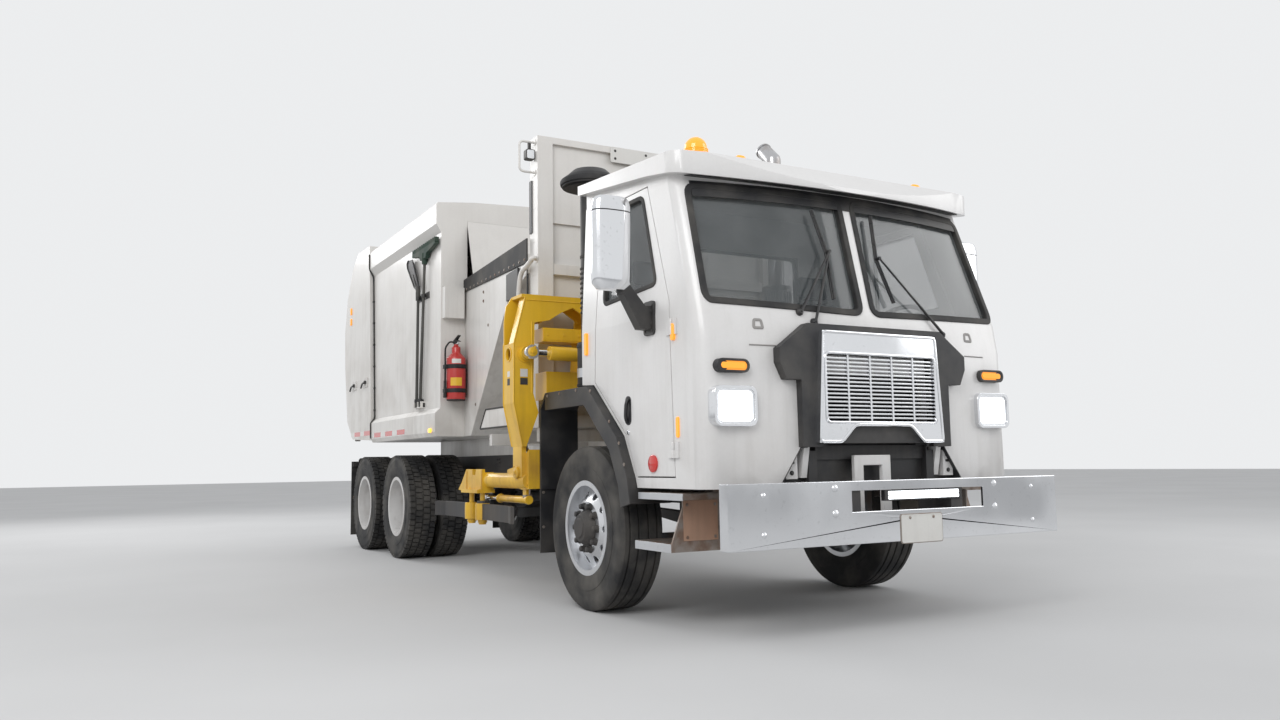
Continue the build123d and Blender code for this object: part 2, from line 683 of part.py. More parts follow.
# Door hinges: a leaf and knuckle on the cab, with the pin, and another on the door
HINGE_Y = DOOR[0][0] - 1
HINGE_R = 10
HINGE_X = CAB_HALF + 12
HINGE_H = 45
HINGE_ZS = (960, 1650)
LEAF_IN = 3
cab_hinge = Part()
door_hinge = Part()
for z in HINGE_ZS:
    middle, top = z + HINGE_H, z + 2 * HINGE_H
    cab_hinge += block(HINGE_X - 26, HINGE_X - LEAF_IN, HINGE_Y - 50, HINGE_Y - HINGE_R - 2, z, top)
    cab_hinge += block(HINGE_X - 10, HINGE_X - LEAF_IN, HINGE_Y - 15, HINGE_Y, z, middle)
    cab_hinge += bar((HINGE_X, HINGE_Y, z), (HINGE_X, HINGE_Y, middle), HINGE_R)
    cab_hinge += bar((HINGE_X, HINGE_Y, z), (HINGE_X, HINGE_Y, top), HINGE_R / 2)
    door_hinge += block(HINGE_X - 10, HINGE_X - LEAF_IN, HINGE_Y, HINGE_Y + 62, middle + SEAT, top)
    door_hinge += block(HINGE_X - 10, HINGE_X - LEAF_IN, HINGE_Y + HINGE_R + 2, HINGE_Y + 62, z, top)
    door_hinge += block(HINGE_X - 26, HINGE_X - LEAF_IN, HINGE_Y + 46, HINGE_Y + 62, z, top)
    door_hinge += ring(
        (HINGE_X, HINGE_Y, z + HINGE_H + SEAT),
        (HINGE_X, HINGE_Y, z + 2 * HINGE_H),
        HINGE_R,
        HINGE_R / 2 + BEARING_GAP,
    )
    door_hinge -= bar((HINGE_X, HINGE_Y, z), (HINGE_X, HINGE_Y, top), HINGE_R / 2 + BEARING_GAP)
cab = cab + cab_hinge + mirrored(cab_hinge)
write("cab_shell", cab)


def arch_height(y):
    """How high the cab's underside is at its rear."""
    (y0, z0), (y1, z1) = ARCH[-2], ARCH[-1]
    return z0 + (z1 - z0) * (y - y0) / (y1 - y0)


CAB_REST = (0, 50)
rest = along_x(
    (
        (CAB_REST[0], RAIL_TOP - 50),
        (CAB_REST[1], RAIL_TOP - 50),
        (CAB_REST[1], arch_height(CAB_REST[1]) - SEAT),
        (CAB_REST[0], arch_height(CAB_REST[0]) - SEAT),
    ),
    RAIL_X + 75,
    RAIL_X + 130,
)
rest += block(RAIL_X, RAIL_X + 130, *CAB_REST, RAIL_TOP - 50, RAIL_TOP)
frame = frame + rest + mirrored(rest)
write("frame_rails", frame)

# Doors with their glass
door_edge = offset_path(list(DOOR) + [DOOR[0], DOOR[1]], DOOR_GAP)[1:-1]
door_form = along_x(door_edge, CAB_HALF - 110, CAB_HALF + 20)
door_inner = cab_between(CAB_SECTIONS, inset=DOOR_DEPTH)
door_light = along_x(DOOR_WINDOW, CAB_HALF - 200, CAB_HALF + 50)
door = (door_form & cab_outer) - door_inner - door_light + door_hinge
GLASS_T = 8
glass_out = cab_between(CAB_SECTIONS, inset=20)
glass_in = cab_between(CAB_SECTIONS, inset=20 + GLASS_T)
door_glass = (door_light & glass_out) - glass_in

# Mirror, carried by an arm from the door's skin
MIRROR = (-1545, -1300, -905, -780, 1925, 2470)
MIRROR_ARM = (
    (-CAB_HALF, 1700),
    (-CAB_HALF, 1850),
    (-1215, 1850),
    (-1330, 1965),
    (-1370, 1965),
    (-1370, 1925),
    (-1250, 1700),
)
mirror_arm = along_y(MIRROR_ARM, -870, -800)
mirror_head = block(*MIRROR)
mirror_head = fillet(mirror_head.edges().filter_by(Axis.Z), 40)
mirror_kerb = (mirror_head + mirror_arm) - cab_outer

for name, flip in (("kerb", False), ("street", True)):
    pieces = {"door": mirrored(door), "door_glass": mirrored(door_glass), "mirror": mirror_kerb}
    for piece, shape in pieces.items():
        write(f"{piece}_{name}", mirrored(shape) if flip else shape)

panes = []
for side in (-1, 1):
    panes.append((along_y([(side * x, z) for x, z in PANE], -1700, -900) & glass_out) - glass_in)
rear_pane = block(*REAR_WINDOW[:2], CAB_REAR - 22 - GLASS_T, CAB_REAR - 22, *REAR_WINDOW[2:])
write("cab_glass", *panes, rear_pane)

# Grille and the black surround behind it, seated on the cab's front
SHROUD_FRONT = -1468
GRILLE_FRONT = -1500
SHROUD = ((506, 1707), (713, 1560), (713, 1480), (668, 1384), (565, 1384), (565, 1010))
shroud_side = list(SHROUD) + [(-x, z) for x, z in SHROUD[::-1]]
shroud = along_y(shroud_side, SHROUD_FRONT, -1360) - cab_outer
MESH = (-415, 415, 1152, 1535)
shroud -= block(MESH[0], MESH[1], -1700, -1300, MESH[2], MESH[3])
shroud -= block(-420, 420, -1700, -1300, 900, 1030)
write("grille_shroud", shroud)

GRILLE = (
    (-476, 1033),
    (-435, 1665),
    (435, 1665),
    (476, 1033),
    (310, 1033),
    (210, 1130),
    (-210, 1130),
    (-310, 1033),
)
grille = along_y(GRILLE, GRILLE_FRONT, SHROUD_FRONT)
grille -= block(MESH[0], MESH[1], GRILLE_FRONT - 5, SHROUD_FRONT + 5, MESH[2], MESH[3])
BAR_H = 9
BARS = 17
for index in range(1, BARS):
    z = MESH[2] + (MESH[3] - MESH[2]) * index / BARS
    grille += block(MESH[0], MESH[1], GRILLE_FRONT + 10, SHROUD_FRONT - 6, z - BAR_H / 2, z + BAR_H / 2)
for x in (-249, -83, 83, 249):
    grille += block(x - 7, x + 7, GRILLE_FRONT + 6, SHROUD_FRONT - 4, MESH[2], MESH[3])
write("grille", grille)

# Lamps: head, turn, roof beacon and side markers, seated on the cab
head = block(985 - 140, 985 + 140, -1440, -1360, 1234 - 110, 1234 + 110)
head = fillet(head.edges().filter_by(Axis.Y), 45)
turn = block(992 - 100, 992 + 100, -1430, -1360, 1453 - 32, 1453 + 32)
turn = fillet(turn.edges().filter_by(Axis.Y), 30)
BEACON = (-880, -920, 2720)
beacon = spun(((0, 0), (0, 78), (40, 78), (60, 70), (120, 60), (165, 28), (172, 0)), BEACON, (0, 0, 1))
lamps = [(shape - cab_outer) for shape in (head, turn, mirrored(head), mirrored(turn))]
write("lamps", *lamps, beacon - roof)

# Seats, dash and steering wheel
SEAT_X = 700
SEAT_Z = 1514
seat = block(SEAT_X - 240, SEAT_X + 240, -560, -80, SEAT_Z + 4, SEAT_Z + 130)
seat += block(SEAT_X - 130, SEAT_X + 180, -420, -100, 1150, SEAT_Z + 6) - arch_cover
seat += along_x(
    ((-150, SEAT_Z + 120), (-30, SEAT_Z + 120), (10, SEAT_Z + 800), (-60, SEAT_Z + 800)),
    SEAT_X - 230,
    SEAT_X + 230,
)
write("seats", *both_sides(seat))
dash = along_x(
    ((-1340, 1500), (-1010, 1500), (-1020, 1690), (-1060, 1745), (-1330, 1735)), -1075, 1075
)
dash = dash & cab_between(CAB_SECTIONS, inset=CAB_WALL)
dash -= tunnel_cover
dash += bar((SEAT_X, -1040, 1600), (SEAT_X, -880, 1790), 32)
wheel_centre = Vector(SEAT_X, -880, 1790)
tilt = Plane(origin=wheel_centre, z_dir=Vector(0, 160, 190))
dash += tilt * Torus(225, 15)
for angle in (0, 120, 240):
    dash += tilt * Rot(0, 0, angle) * (Pos(115, 0, 0) * Box(215, 34, 14))
write("dash", dash)

# Steps under the doors
STEP_OUT = 1185
STEP_IN = 860
UPPER_STEP = (-1190, -700, 730, 765)
LOWER_STEP = (-1060, -655, 440, 486)
step = block(STEP_IN, STEP_OUT, *UPPER_STEP)
step += block(STEP_IN, STEP_OUT, *LOWER_STEP)
step += block(STEP_IN, STEP_IN + 12, -1060, -700, LOWER_STEP[3] - 2, UPPER_STEP[2] + 2)
step += along_x(
    (
        (-1040, LOWER_STEP[2] + 6),
        (-1290, LOWER_STEP[2] + 16),
        (-1290, UPPER_STEP[2] + 12),
        (-1150, UPPER_STEP[2] + 12),
        (-1040, LOWER_STEP[3] - 6),
    ),
    STEP_IN,
    STEP_IN + 12,
)
step += block(RAIL_X, STEP_IN + 2, -1000, -920, UPPER_STEP[2] - 30, CAB_BOTTOM - MOVING_GAP)
STEP_PLATE = (
    (STEP_IN, LOWER_STEP[2]),
    (STEP_OUT, LOWER_STEP[2]),
    (STEP_OUT, LOWER_STEP[3]),
    (STEP_OUT - 75, UPPER_STEP[2] - 40),
    (STEP_OUT - 75, UPPER_STEP[2] + 2),
    (STEP_IN, UPPER_STEP[2] + 2),
)
step += along_y(STEP_PLATE, LOWER_STEP[0] - 10, LOWER_STEP[0] + 2)
step += block(STEP_IN - 2, STEP_IN + 60, -1000, -920, UPPER_STEP[2] - 30, UPPER_STEP[3] - 5)
write("steps", *both_sides(step))

# Front fenders, bands that follow the arch line, with a flap behind the wheel
FENDER_IN = 935
FENDER_OUT = 1225
FENDER_SKIN = 22
FENDER_LIP = 120
FENDER_REAR = 655
ARCH_GAP = 10
path = [(-672, 700), (-640, 850), (-508, 1100), (-104, 1440)]
path = offset_path(path, -ARCH_GAP) + [(560, 1432), (FENDER_REAR, 1330), (FENDER_REAR, 760)]
fender = along_x(strip(path, -FENDER_SKIN), FENDER_IN, FENDER_OUT)
fender += along_x(strip(path[:-2], -FENDER_LIP), FENDER_OUT - 24, FENDER_OUT)
fender += block(FENDER_IN, FENDER_OUT, FENDER_REAR - 8, FENDER_REAR, 320, 790)
fender += block(RAIL_X - 60, FENDER_IN + 20, 110, 160, 1360, 1400)
fender += block(FENDER_IN, FENDER_IN + 20, 110, 160, 1380, 1420)
fender += block(RAIL_X - 60, RAIL_X - 4, 110, 160, RAIL_TOP, 1400)
write("front_fenders", *both_sides(fender))

# Reach beam housing behind the cab

ARM_FRONT = 700
ARM_REAR = 900
BEAM_LOW = 1400
BEAM_HIGH = 1600
HOUSING_WALL = 12
SLIDE_GAP = MOVING_GAP
HOUSING_MOUTH = -620
HOUSING_END = 1100
HOUSING_BOTTOM = BEAM_LOW - SLIDE_GAP - HOUSING_WALL


def beam_box(x0, x1, margin):
    """A box round the sliding beam, larger than it by a margin on each side."""
    return block(
        x0, x1, ARM_FRONT - margin, ARM_REAR + margin, BEAM_LOW - margin, BEAM_HIGH + margin
    )


housing = beam_box(HOUSING_MOUTH, HOUSING_END, SLIDE_GAP + HOUSING_WALL)
housing -= beam_box(HOUSING_MOUTH - 5, HOUSING_END + 5, SLIDE_GAP)
for x in (HOUSING_MOUTH, HOUSING_END - 700):
    below = (BEAM_LOW - SLIDE_GAP - 1, BEAM_LOW - SEAT)
    above = (BEAM_HIGH + SEAT, BEAM_HIGH + SLIDE_GAP + 1)
    for z0, z1 in (below, above):
        housing += block(x, x + 80, ARM_FRONT + 20, ARM_REAR - 20, z0, z1)
for side in (-1, 1):
    foot = (side * (RAIL_X - 80), side * RAIL_X, ARM_FRONT + 10, ARM_REAR - 10)
    housing += block(*foot, RAIL_TOP, HOUSING_BOTTOM + 1)
write("reach_housing", housing)

# Carriage: inner beam, mast with the lift pivot and rest box

LIFT_PIVOT = (-720, 2060)
LIFT_PIN_R = 30
LIFT_BOSS_R = 72
BASE_PIN_R = 24
CHEEK_T = 28
CHEEK_GAP = MOVING_GAP
BEAM_OUT = -1150
BEAM_IN = 1050
CYL_BASE = (-690, 1715)
CYL_Y = 606
CYL_R = 50
beam = block(BEAM_OUT, BEAM_IN, ARM_FRONT, ARM_REAR, BEAM_LOW, BEAM_HIGH)
beam -= block(BEAM_OUT + 20, BEAM_IN + 5, ARM_FRONT + 14, ARM_REAR - 14, BEAM_LOW + 14, BEAM_HIGH - 14)
MAST_IN = HOUSING_MOUTH - 8
MAST_SIDE = (
    (-860, BEAM_HIGH - 60),
    (MAST_IN, BEAM_HIGH - 60),
    (MAST_IN, 2000),
    (-655, 2130),
    (-785, 2130),
    (-820, 2000),
)
carriage = beam
for y in (ARM_FRONT - CHEEK_GAP - CHEEK_T, ARM_REAR + CHEEK_GAP):
    carriage += along_y(MAST_SIDE, y, y + CHEEK_T)
carriage += block(-850, -650, ARM_FRONT - CHEEK_GAP - 2, ARM_REAR + CHEEK_GAP + 2, BEAM_HIGH - 14, 1925)
carriage += block(-1165, -840, ARM_FRONT + 20, ARM_REAR - 20, 1820, 1920)
carriage += bar(
    (LIFT_PIVOT[0], ARM_FRONT - CHEEK_GAP - CHEEK_T, LIFT_PIVOT[1]),
    (LIFT_PIVOT[0], ARM_REAR + CHEEK_GAP + CHEEK_T, LIFT_PIVOT[1]),
    LIFT_PIN_R,
)
carriage += bar((CYL_BASE[0], CYL_Y - 30, CYL_BASE[1]), (CYL_BASE[0], ARM_FRONT, CYL_BASE[1]), BASE_PIN_R)
write("carriage", carriage)

# Lift arm: an inverted L of plates, its leg tapering to the gripper

PLATE = 16
ARM_TOP = 2152
ARM_OUT = -1400
LEG_TIP = 1062
FRONT_PLATE = (
    (-1312, ARM_TOP - 20),
    (ARM_OUT, 1795),
    (ARM_OUT, 1370),
    (-1335, LEG_TIP),
    (-1305, LEG_TIP),
    (-1212, 1305),
    (-1252, 1440),
    (-1240, 1950),
    (-1125, 1972),
    (-1035, 2030),
    (-935, 2075),
    (-800, 1985),
    (-640, 1985),
    (-640, ARM_TOP - 20),
)
REAR_HEAD = ((-1345, ARM_TOP - 8), (-1385, 2080), (ARM_OUT, 1960))
REAR_PLATE = REAR_HEAD + FRONT_PLATE[2:-1] + ((-640, ARM_TOP - 8),)
LEANING_DEPTH = 95
# closing plates between the two side plates, as (x, z)
CLOSING = (
    ((ARM_OUT, 1795), (ARM_OUT, 1370), (ARM_OUT + PLATE, 1372), (ARM_OUT + PLATE, 1795)),
    ((ARM_OUT, 1370), (-1335, LEG_TIP), (-1317, LEG_TIP + 4), (ARM_OUT + PLATE, 1376)),
    ((-1212, 1305), (-1305, LEG_TIP), (-1323, LEG_TIP + 4), (-1230, 1309)),
    ((-1252, 1440), (-1240, 1950), (-1256, 1951), (-1268, 1440)),
)
LEANING = ((-1312, ARM_TOP - 5), (ARM_OUT, 1795), (ARM_OUT + PLATE, 1791), (-1292, ARM_TOP - 5))
lift_arm = along_y(FRONT_PLATE, ARM_FRONT, ARM_FRONT + PLATE)
lift_arm += along_y(REAR_PLATE, ARM_REAR - PLATE, ARM_REAR)
lift_arm += block(-1340, -640, ARM_FRONT, ARM_REAR, ARM_TOP - 22, ARM_TOP)
for plate in CLOSING:
    lift_arm += along_y(plate, ARM_FRONT, ARM_REAR)
lift_arm += along_y(LEANING, ARM_FRONT, ARM_FRONT + LEANING_DEPTH)
hinge_start = (LIFT_PIVOT[0], ARM_FRONT - 20, LIFT_PIVOT[1])
hinge_end = (LIFT_PIVOT[0], ARM_REAR + 20, LIFT_PIVOT[1])
lift_arm += bar(
    (LIFT_PIVOT[0], ARM_FRONT, LIFT_PIVOT[1]), (LIFT_PIVOT[0], ARM_REAR, LIFT_PIVOT[1]), LIFT_BOSS_R
)
lift_arm -= bar(hinge_start, hinge_end, LIFT_PIN_R + BEARING_GAP)
ROD_PIN = (-1310, 1722)
lift_arm += bar((ROD_PIN[0], CYL_Y + 46, ROD_PIN[1]), (ROD_PIN[0], ARM_FRONT + 5, ROD_PIN[1]), 52)
ACCESS_R = 42
arm_middle = (ARM_FRONT + ARM_REAR) / 2
lift_arm -= bar((ARM_OUT - 20, arm_middle, ROD_PIN[1]), (ARM_OUT + 20, arm_middle, ROD_PIN[1]), ACCESS_R)
write("lift_arm", lift_arm)

# Lift cylinder and rod, from the mast to the arm's boss
cyl_way = Vector(ROD_PIN[0] - CYL_BASE[0], 0, ROD_PIN[1] - CYL_BASE[1])
cyl_length = cyl_way.length
cyl_way = cyl_way.normalized()


def on_cylinder(along):
    """A point on the lift cylinder's axis, counted from its base pin."""
    return (CYL_BASE[0] + cyl_way.X * along, CYL_Y, CYL_BASE[1] + cyl_way.Z * along)


BARREL_END = 480
ROD_R = 26
CYL_EYE_R = 48


def along_base_pin(reach, radius):
    """A round bar along the lift cylinder's base pin."""
    return bar((CYL_BASE[0], CYL_Y - reach, CYL_BASE[1]), (CYL_BASE[0], CYL_Y + reach, CYL_BASE[1]), radius)


barrel = bar(on_cylinder(40), on_cylinder(BARREL_END), CYL_R) + along_base_pin(28, CYL_EYE_R)
barrel -= along_base_pin(60, BASE_PIN_R + BEARING_GAP)
barrel -= bar(on_cylinder(64), on_cylinder(BARREL_END + 10), ROD_R + BEARING_GAP)
write("lift_cylinder", barrel)
rod = bar(on_cylinder(68), on_cylinder(cyl_length - 20), ROD_R)
rod += bar((ROD_PIN[0], CYL_Y - 34, ROD_PIN[1]), (ROD_PIN[0], CYL_Y + 40, ROD_PIN[1]), 50)
write("lift_rod", rod)

# Gripper base: link, gusset, tube along the truck, end plate and finger hubs

FINGER_LOW = 520
FINGER_HIGH = 640
GRIP_X = -1280
TUBE_Z = 820
TUBE_R = 56
HUB_X = -1325
HUB_YS = (1530, 1770)
HUB_TOP = 722
HUB_PIN_R = 20
GUSSET_FRONT = FENDER_REAR + 18
base = block(-1335, -1300, 720, 880, 850, LEG_TIP)
base += along_x(
    ((GUSSET_FRONT, 1040), (GUSSET_FRONT, 765), (800, 758), (1080, 800), (1080, 900), (900, 925)),
    GRIP_X - 20,
    GRIP_X + 15,
)
base += block(GRIP_X - 15, GRIP_X + 120, GUSSET_FRONT, GUSSET_FRONT + 24, 765, 1040)
base += bar((GRIP_X, GUSSET_FRONT + 24, TUBE_Z), (GRIP_X, 1500, TUBE_Z), TUBE_R)
base += bar((-1340, 800, 880), (GRIP_X + 20, 800, 880), 34)
END_PLATE = (
    (1490, 905),
    (1490, HUB_TOP),
    (1850, HUB_TOP),
    (2040, HUB_TOP + 20),
    (1960, 800),
    (1850, 905),
    (1700, 905),
    (1690, 860),
    (1640, 860),
    (1630, 905),
)
base += along_x(END_PLATE, GRIP_X - 65, GRIP_X - 40)
base += block(GRIP_X - 105, GRIP_X + 40, 1490, 1860, HUB_TOP, HUB_TOP + 26)
base += block(GRIP_X - 65, GRIP_X + 30, 1490, 1512, HUB_TOP, 880)
for y in HUB_YS:
    base += bar((HUB_X, y, FINGER_LOW - 24), (HUB_X, y, HUB_TOP + 2), HUB_PIN_R)
    base += bar((HUB_X, y, FINGER_LOW - 24), (HUB_X, y, FINGER_LOW - SEAT), HUB_PIN_R + 16)
GRIP_CYL_Z = 686
GRIP_CYL_X = GRIP_X + 12
GRIP_ROD_R = 14
grip_barrel = bar((GRIP_CYL_X, 760, GRIP_CYL_Z), (GRIP_CYL_X, 1310, GRIP_CYL_Z), GRIP_ROD_R + 13)
grip_bore = bar((GRIP_CYL_X, 800, GRIP_CYL_Z), (GRIP_CYL_X, 1320, GRIP_CYL_Z), GRIP_ROD_R + BEARING_GAP)
base += grip_barrel - grip_bore
base += block(GRIP_CYL_X - 12, GRIP_CYL_X + 12, 770, 830, GRIP_CYL_Z, TUBE_Z - 40)
write("gripper_base", base)

ROD_EYE_Y = HUB_YS[0] + 50
EYE_HALF = 22
EYE_R = 26
eye_low = (GRIP_CYL_X, ROD_EYE_Y, GRIP_CYL_Z - EYE_HALF)
eye_high = (GRIP_CYL_X, ROD_EYE_Y, GRIP_CYL_Z + EYE_HALF)
grip_rod = bar((GRIP_CYL_X, 1000, GRIP_CYL_Z), (GRIP_CYL_X, ROD_EYE_Y - 20, GRIP_CYL_Z), GRIP_ROD_R)
grip_rod += bar(eye_low, eye_high, EYE_R)
write("grip_rod", grip_rod)

# Fingers, folded along the truck
FINGER_REACH = 760


def finger(hub_y, way):
    """One gripper finger from its hub along the truck, its tip bent outward."""
    shape = along_z(
        (
            (HUB_X - 22, hub_y),
            (HUB_X + 22, hub_y),
            (HUB_X + 14, hub_y + way * 320),
            (HUB_X + 4, hub_y + way * (FINGER_REACH - 160)),
            (HUB_X - 46, hub_y + way * FINGER_REACH),
            (HUB_X - 66, hub_y + way * (FINGER_REACH - 20)),
            (HUB_X - 24, hub_y + way * (FINGER_REACH - 170)),
            (HUB_X - 18, hub_y + way * 320),
        ),
        FINGER_LOW,
        FINGER_HIGH,
    )
    shape += bar((HUB_X, hub_y, FINGER_LOW), (HUB_X, hub_y, FINGER_HIGH), 46)
    shape -= bar((HUB_X, hub_y, FINGER_LOW - 5), (HUB_X, hub_y, FINGER_HIGH + 5), HUB_PIN_R + BEARING_GAP)
    return shape


LUG_TOP = GRIP_CYL_Z - EYE_HALF - SEAT
CRANK = (
    (HUB_X - 30, HUB_YS[0] + 34),
    (HUB_X, HUB_YS[0] - 44),
    (GRIP_CYL_X + 20, ROD_EYE_Y - 20),
    (GRIP_CYL_X, ROD_EYE_Y + EYE_R),
)
crank = along_z(CRANK, FINGER_HIGH - 2, LUG_TOP)
crank += bar((GRIP_CYL_X, ROD_EYE_Y, FINGER_HIGH - 2), (GRIP_CYL_X, ROD_EYE_Y, LUG_TOP), EYE_R)
crank += bar((HUB_X, HUB_YS[0], FINGER_HIGH - 2), (HUB_X, HUB_YS[0], LUG_TOP), 42)
crank -= bar((HUB_X, HUB_YS[0], FINGER_LOW), (HUB_X, HUB_YS[0], LUG_TOP + 5), HUB_PIN_R + BEARING_GAP)
write("finger_front", finger(HUB_YS[0], -1) + crank)
write("finger_rear", finger(HUB_YS[1], 1))

# Hopper front wall, a tall shield between the arm and the hopper

SHIELD_Y = 950
SHIELD_HALF = 1104
SHIELD_TOP = 3432
POST_W = 127
POST_D = 150
BODY_FLOOR = 1205
SILL_TOP = BODY_FLOOR
shield = block(-SHIELD_HALF + 20, SHIELD_HALF - 20, SHIELD_Y + 50, SHIELD_Y + 80, SILL_TOP, SHIELD_TOP - 8)
for side in (-1, 1):
    shield += block(
        side * SHIELD_HALF, side * (SHIELD_HALF - POST_W), SHIELD_Y, SHIELD_Y + POST_D, SILL_TOP, SHIELD_TOP
    )
# cross rails and the upper panel, as their lower and upper edge and their front
SHIELD_RAILS = (
    (3380, SHIELD_TOP, SHIELD_Y),
    (2767, 3390, SHIELD_Y + 28),
    (2366, 2450, SHIELD_Y + 10),
    (SILL_TOP, 1300, SHIELD_Y),
)
for z0, z1, y0 in SHIELD_RAILS:
    shield += block(-SHIELD_HALF + 10, SHIELD_HALF - 10, y0, SHIELD_Y + 60, z0, z1)
write("hopper_shield", shield)

# Hopper: flared side sheets, sloping front sheet, chute plate

BULKHEAD_Y = 3070
BODY_HALF = 1220
WALL_X = BODY_HALF - 50
OPENING_HALF = 915
HOPPER_T = 24
HOPPER_FRONT = SHIELD_Y + POST_D
SIDE_FRONT_X = 1098
hopper_flare = ((SIDE_FRONT_X, HOPPER_FRONT), (OPENING_HALF, BULKHEAD_Y))
side_plan = along_z(
    (
        hopper_flare[0],
        hopper_flare[1],
        (hopper_flare[1][0] + HOPPER_T, hopper_flare[1][1]),
        (hopper_flare[0][0] + HOPPER_T, hopper_flare[0][1]),
    ),
    1100,
    2800,
)
SLOPE = [(HOPPER_FRONT, 2390), (1630, 2270), (2820, SILL_TOP), (BULKHEAD_Y, SILL_TOP)]
side_edge = [(HOPPER_FRONT, 2540), (1630, 2550), (BULKHEAD_Y, 2612)]
hopper_side = side_plan & along_x(side_edge + SLOPE[::-1], 800, 1300)
slope_sheet = along_x(strip(SLOPE, HOPPER_T), -SIDE_FRONT_X, SIDE_FRONT_X)
slope_sheet &= along_z(
    (
        (-SIDE_FRONT_X, HOPPER_FRONT),
        (SIDE_FRONT_X, HOPPER_FRONT),
        (OPENING_HALF, BULKHEAD_Y),
        (-OPENING_HALF, BULKHEAD_Y),
    ),
    1100,
    2800,
)
hopper = slope_sheet + hopper_side + mirrored(hopper_side)
CHUTE = ((BULKHEAD_Y - 200, 2640), (BULKHEAD_Y, 3250), (BULKHEAD_Y, 3200), (BULKHEAD_Y - 180, 2630))
hopper += along_x(CHUTE, -OPENING_HALF, OPENING_HALF)
write("hopper", hopper)

# Packer body: side walls with a top rail and a flared foot, roof, floor and front frame

BODY_WALL = 30
RAIL_LOW = 3180
OPENING_TOP = 3250
SEAM_TOP = (5570, 3440)
SEAM_BOTTOM = (5395, BODY_FLOOR)
BODY_OUT = (
    (0, 3475),
    (850, 3440),
    (1205, 3405),
    (BODY_HALF, 3380),
    (BODY_HALF, RAIL_LOW + 20),
    (WALL_X, RAIL_LOW - 60),
    (WALL_X, 1470),
    (BODY_HALF, 1420),
    (BODY_HALF, 1245),
    (1200, BODY_FLOOR),
    (0, BODY_FLOOR),
)
BODY_IN = (
    (0, 3440),
    (850, 3405),
    (1130, 3370),
    (WALL_X - BODY_WALL, 3300),
    (WALL_X - BODY_WALL, BODY_FLOOR + BODY_WALL),
    (0, BODY_FLOOR + BODY_WALL),
)


def whole(half_outline):
    """A half outline of (x, z) points closed by its mirror image."""
    return list(half_outline) + [(-x, z) for x, z in half_outline[::-1] if x]


shell_rear = SEAM_TOP[0] + 100
shell = along_y(whole(BODY_OUT), BULKHEAD_Y, shell_rear)
shell -= along_y(whole(BODY_IN), BULKHEAD_Y + BODY_WALL, shell_rear + 50)
opening_depth = (BULKHEAD_Y - 10, BULKHEAD_Y + BODY_WALL + 10)
shell -= block(-OPENING_HALF, OPENING_HALF, *opening_depth, BODY_FLOOR + BODY_WALL, OPENING_TOP)


def behind_seam(gap):
    """Everything behind the seam plane between body and tailgate, moved back by a gap."""
    top = (SEAM_TOP[0] + gap, SEAM_TOP[1])
    bottom = (SEAM_BOTTOM[0] + gap, SEAM_BOTTOM[1])
    slope = (top[0] - bottom[0]) / (top[1] - bottom[1])
    high, low = 3800, 900
    return along_x(
        (
            (bottom[0] + (low - bottom[1]) * slope, low),
            (bottom[0] + (high - bottom[1]) * slope, high),
            (8000, high),
            (8000, low),
        ),
        -1500,
        1500,
    )


shell -= behind_seam(0)
for side in (-1, 1):
    shell += block(side * (RAIL_X - 85), side * RAIL_X, SHIELD_Y, SEAM_BOTTOM[0] - 60, RAIL_TOP, BODY_FLOOR)
# cross sills under shield and hopper, as (front, half length), and the box at the bulkhead's kerb side
for y, half in ((SHIELD_Y + 30, 1080), (1700, 900), (2450, 900)):
    shell += block(-half, half, y, y + 60, SILL_TOP - 100, SILL_TOP)
SIDE_BOX = (10 - WALL_X, -OPENING_HALF - 57, 2300, 2590)
shell += block(SIDE_BOX[0], SIDE_BOX[1], BULKHEAD_Y - 90, BULKHEAD_Y + 1, SIDE_BOX[2], SIDE_BOX[3])

# Tailgate, a bulged hollow door hinged on the body's roof

TAILGATE_PIVOT = (SEAM_TOP[0] + 20, 3520)
TAIL_LUG_R = 28
TAIL_PIN_R = 13
TAIL_LUG_HALF = 45
TAIL_T = 40
TAIL_OUT = (
    (5300, 3478),
    (6120, 3495),
    (6400, 3330),
    (6640, 2990),
    (TAILGATE_REAR, 2600),
    (TAILGATE_REAR - 30, 2150),
    (6560, 1480),
    (6270, 1262),
    (5300, 1225),
)
TAIL_SIDE = BODY_HALF - 2
TAIL_ROOM = WALL_X - BODY_WALL
TAIL_IN = (
    (5200, 3430),
    (6090, 3440),
    (6360, 3300),
    (6590, 2970),
    (TAILGATE_REAR - TAIL_T - 5, 2590),
    (TAILGATE_REAR - TAIL_T - 32, 2160),
    (6520, 1510),
    (6250, 1305),
    (5200, 1270),
)
tailgate = along_x(TAIL_OUT, -TAIL_SIDE, TAIL_SIDE) - along_x(TAIL_IN, -TAIL_ROOM, TAIL_ROOM)
tailgate &= behind_seam(MOVING_GAP)
HINGE_XS = (-850, 0, 850)
py, pz = TAILGATE_PIVOT
for x in HINGE_XS:
    tailgate += bar((x - TAIL_LUG_HALF, py, pz), (x + TAIL_LUG_HALF, py, pz), TAIL_LUG_R)
    lug = ((py - 8, pz - 35), (py - 8, pz), (py + 20, pz + 20), (py + 160, pz - 35))
    tailgate += along_x(lug, x - TAIL_LUG_HALF, x + TAIL_LUG_HALF)
    tailgate -= bar((x - 60, py, pz), (x + 60, py, pz), TAIL_PIN_R + BEARING_GAP)
    for side in (-1, 1):
        near = x + side * (TAIL_LUG_HALF + MOVING_GAP)
        far = near + side * 24
        shell += along_x(((py - 130, 3420), (py - 130, 3470), (py - 10, pz + 26), (py - 22, 3420)), near, far)
        shell += bar((near, py, pz), (far, py, pz), TAIL_LUG_R)
        shell += bar((x, py, pz), (far, py, pz), TAIL_PIN_R)
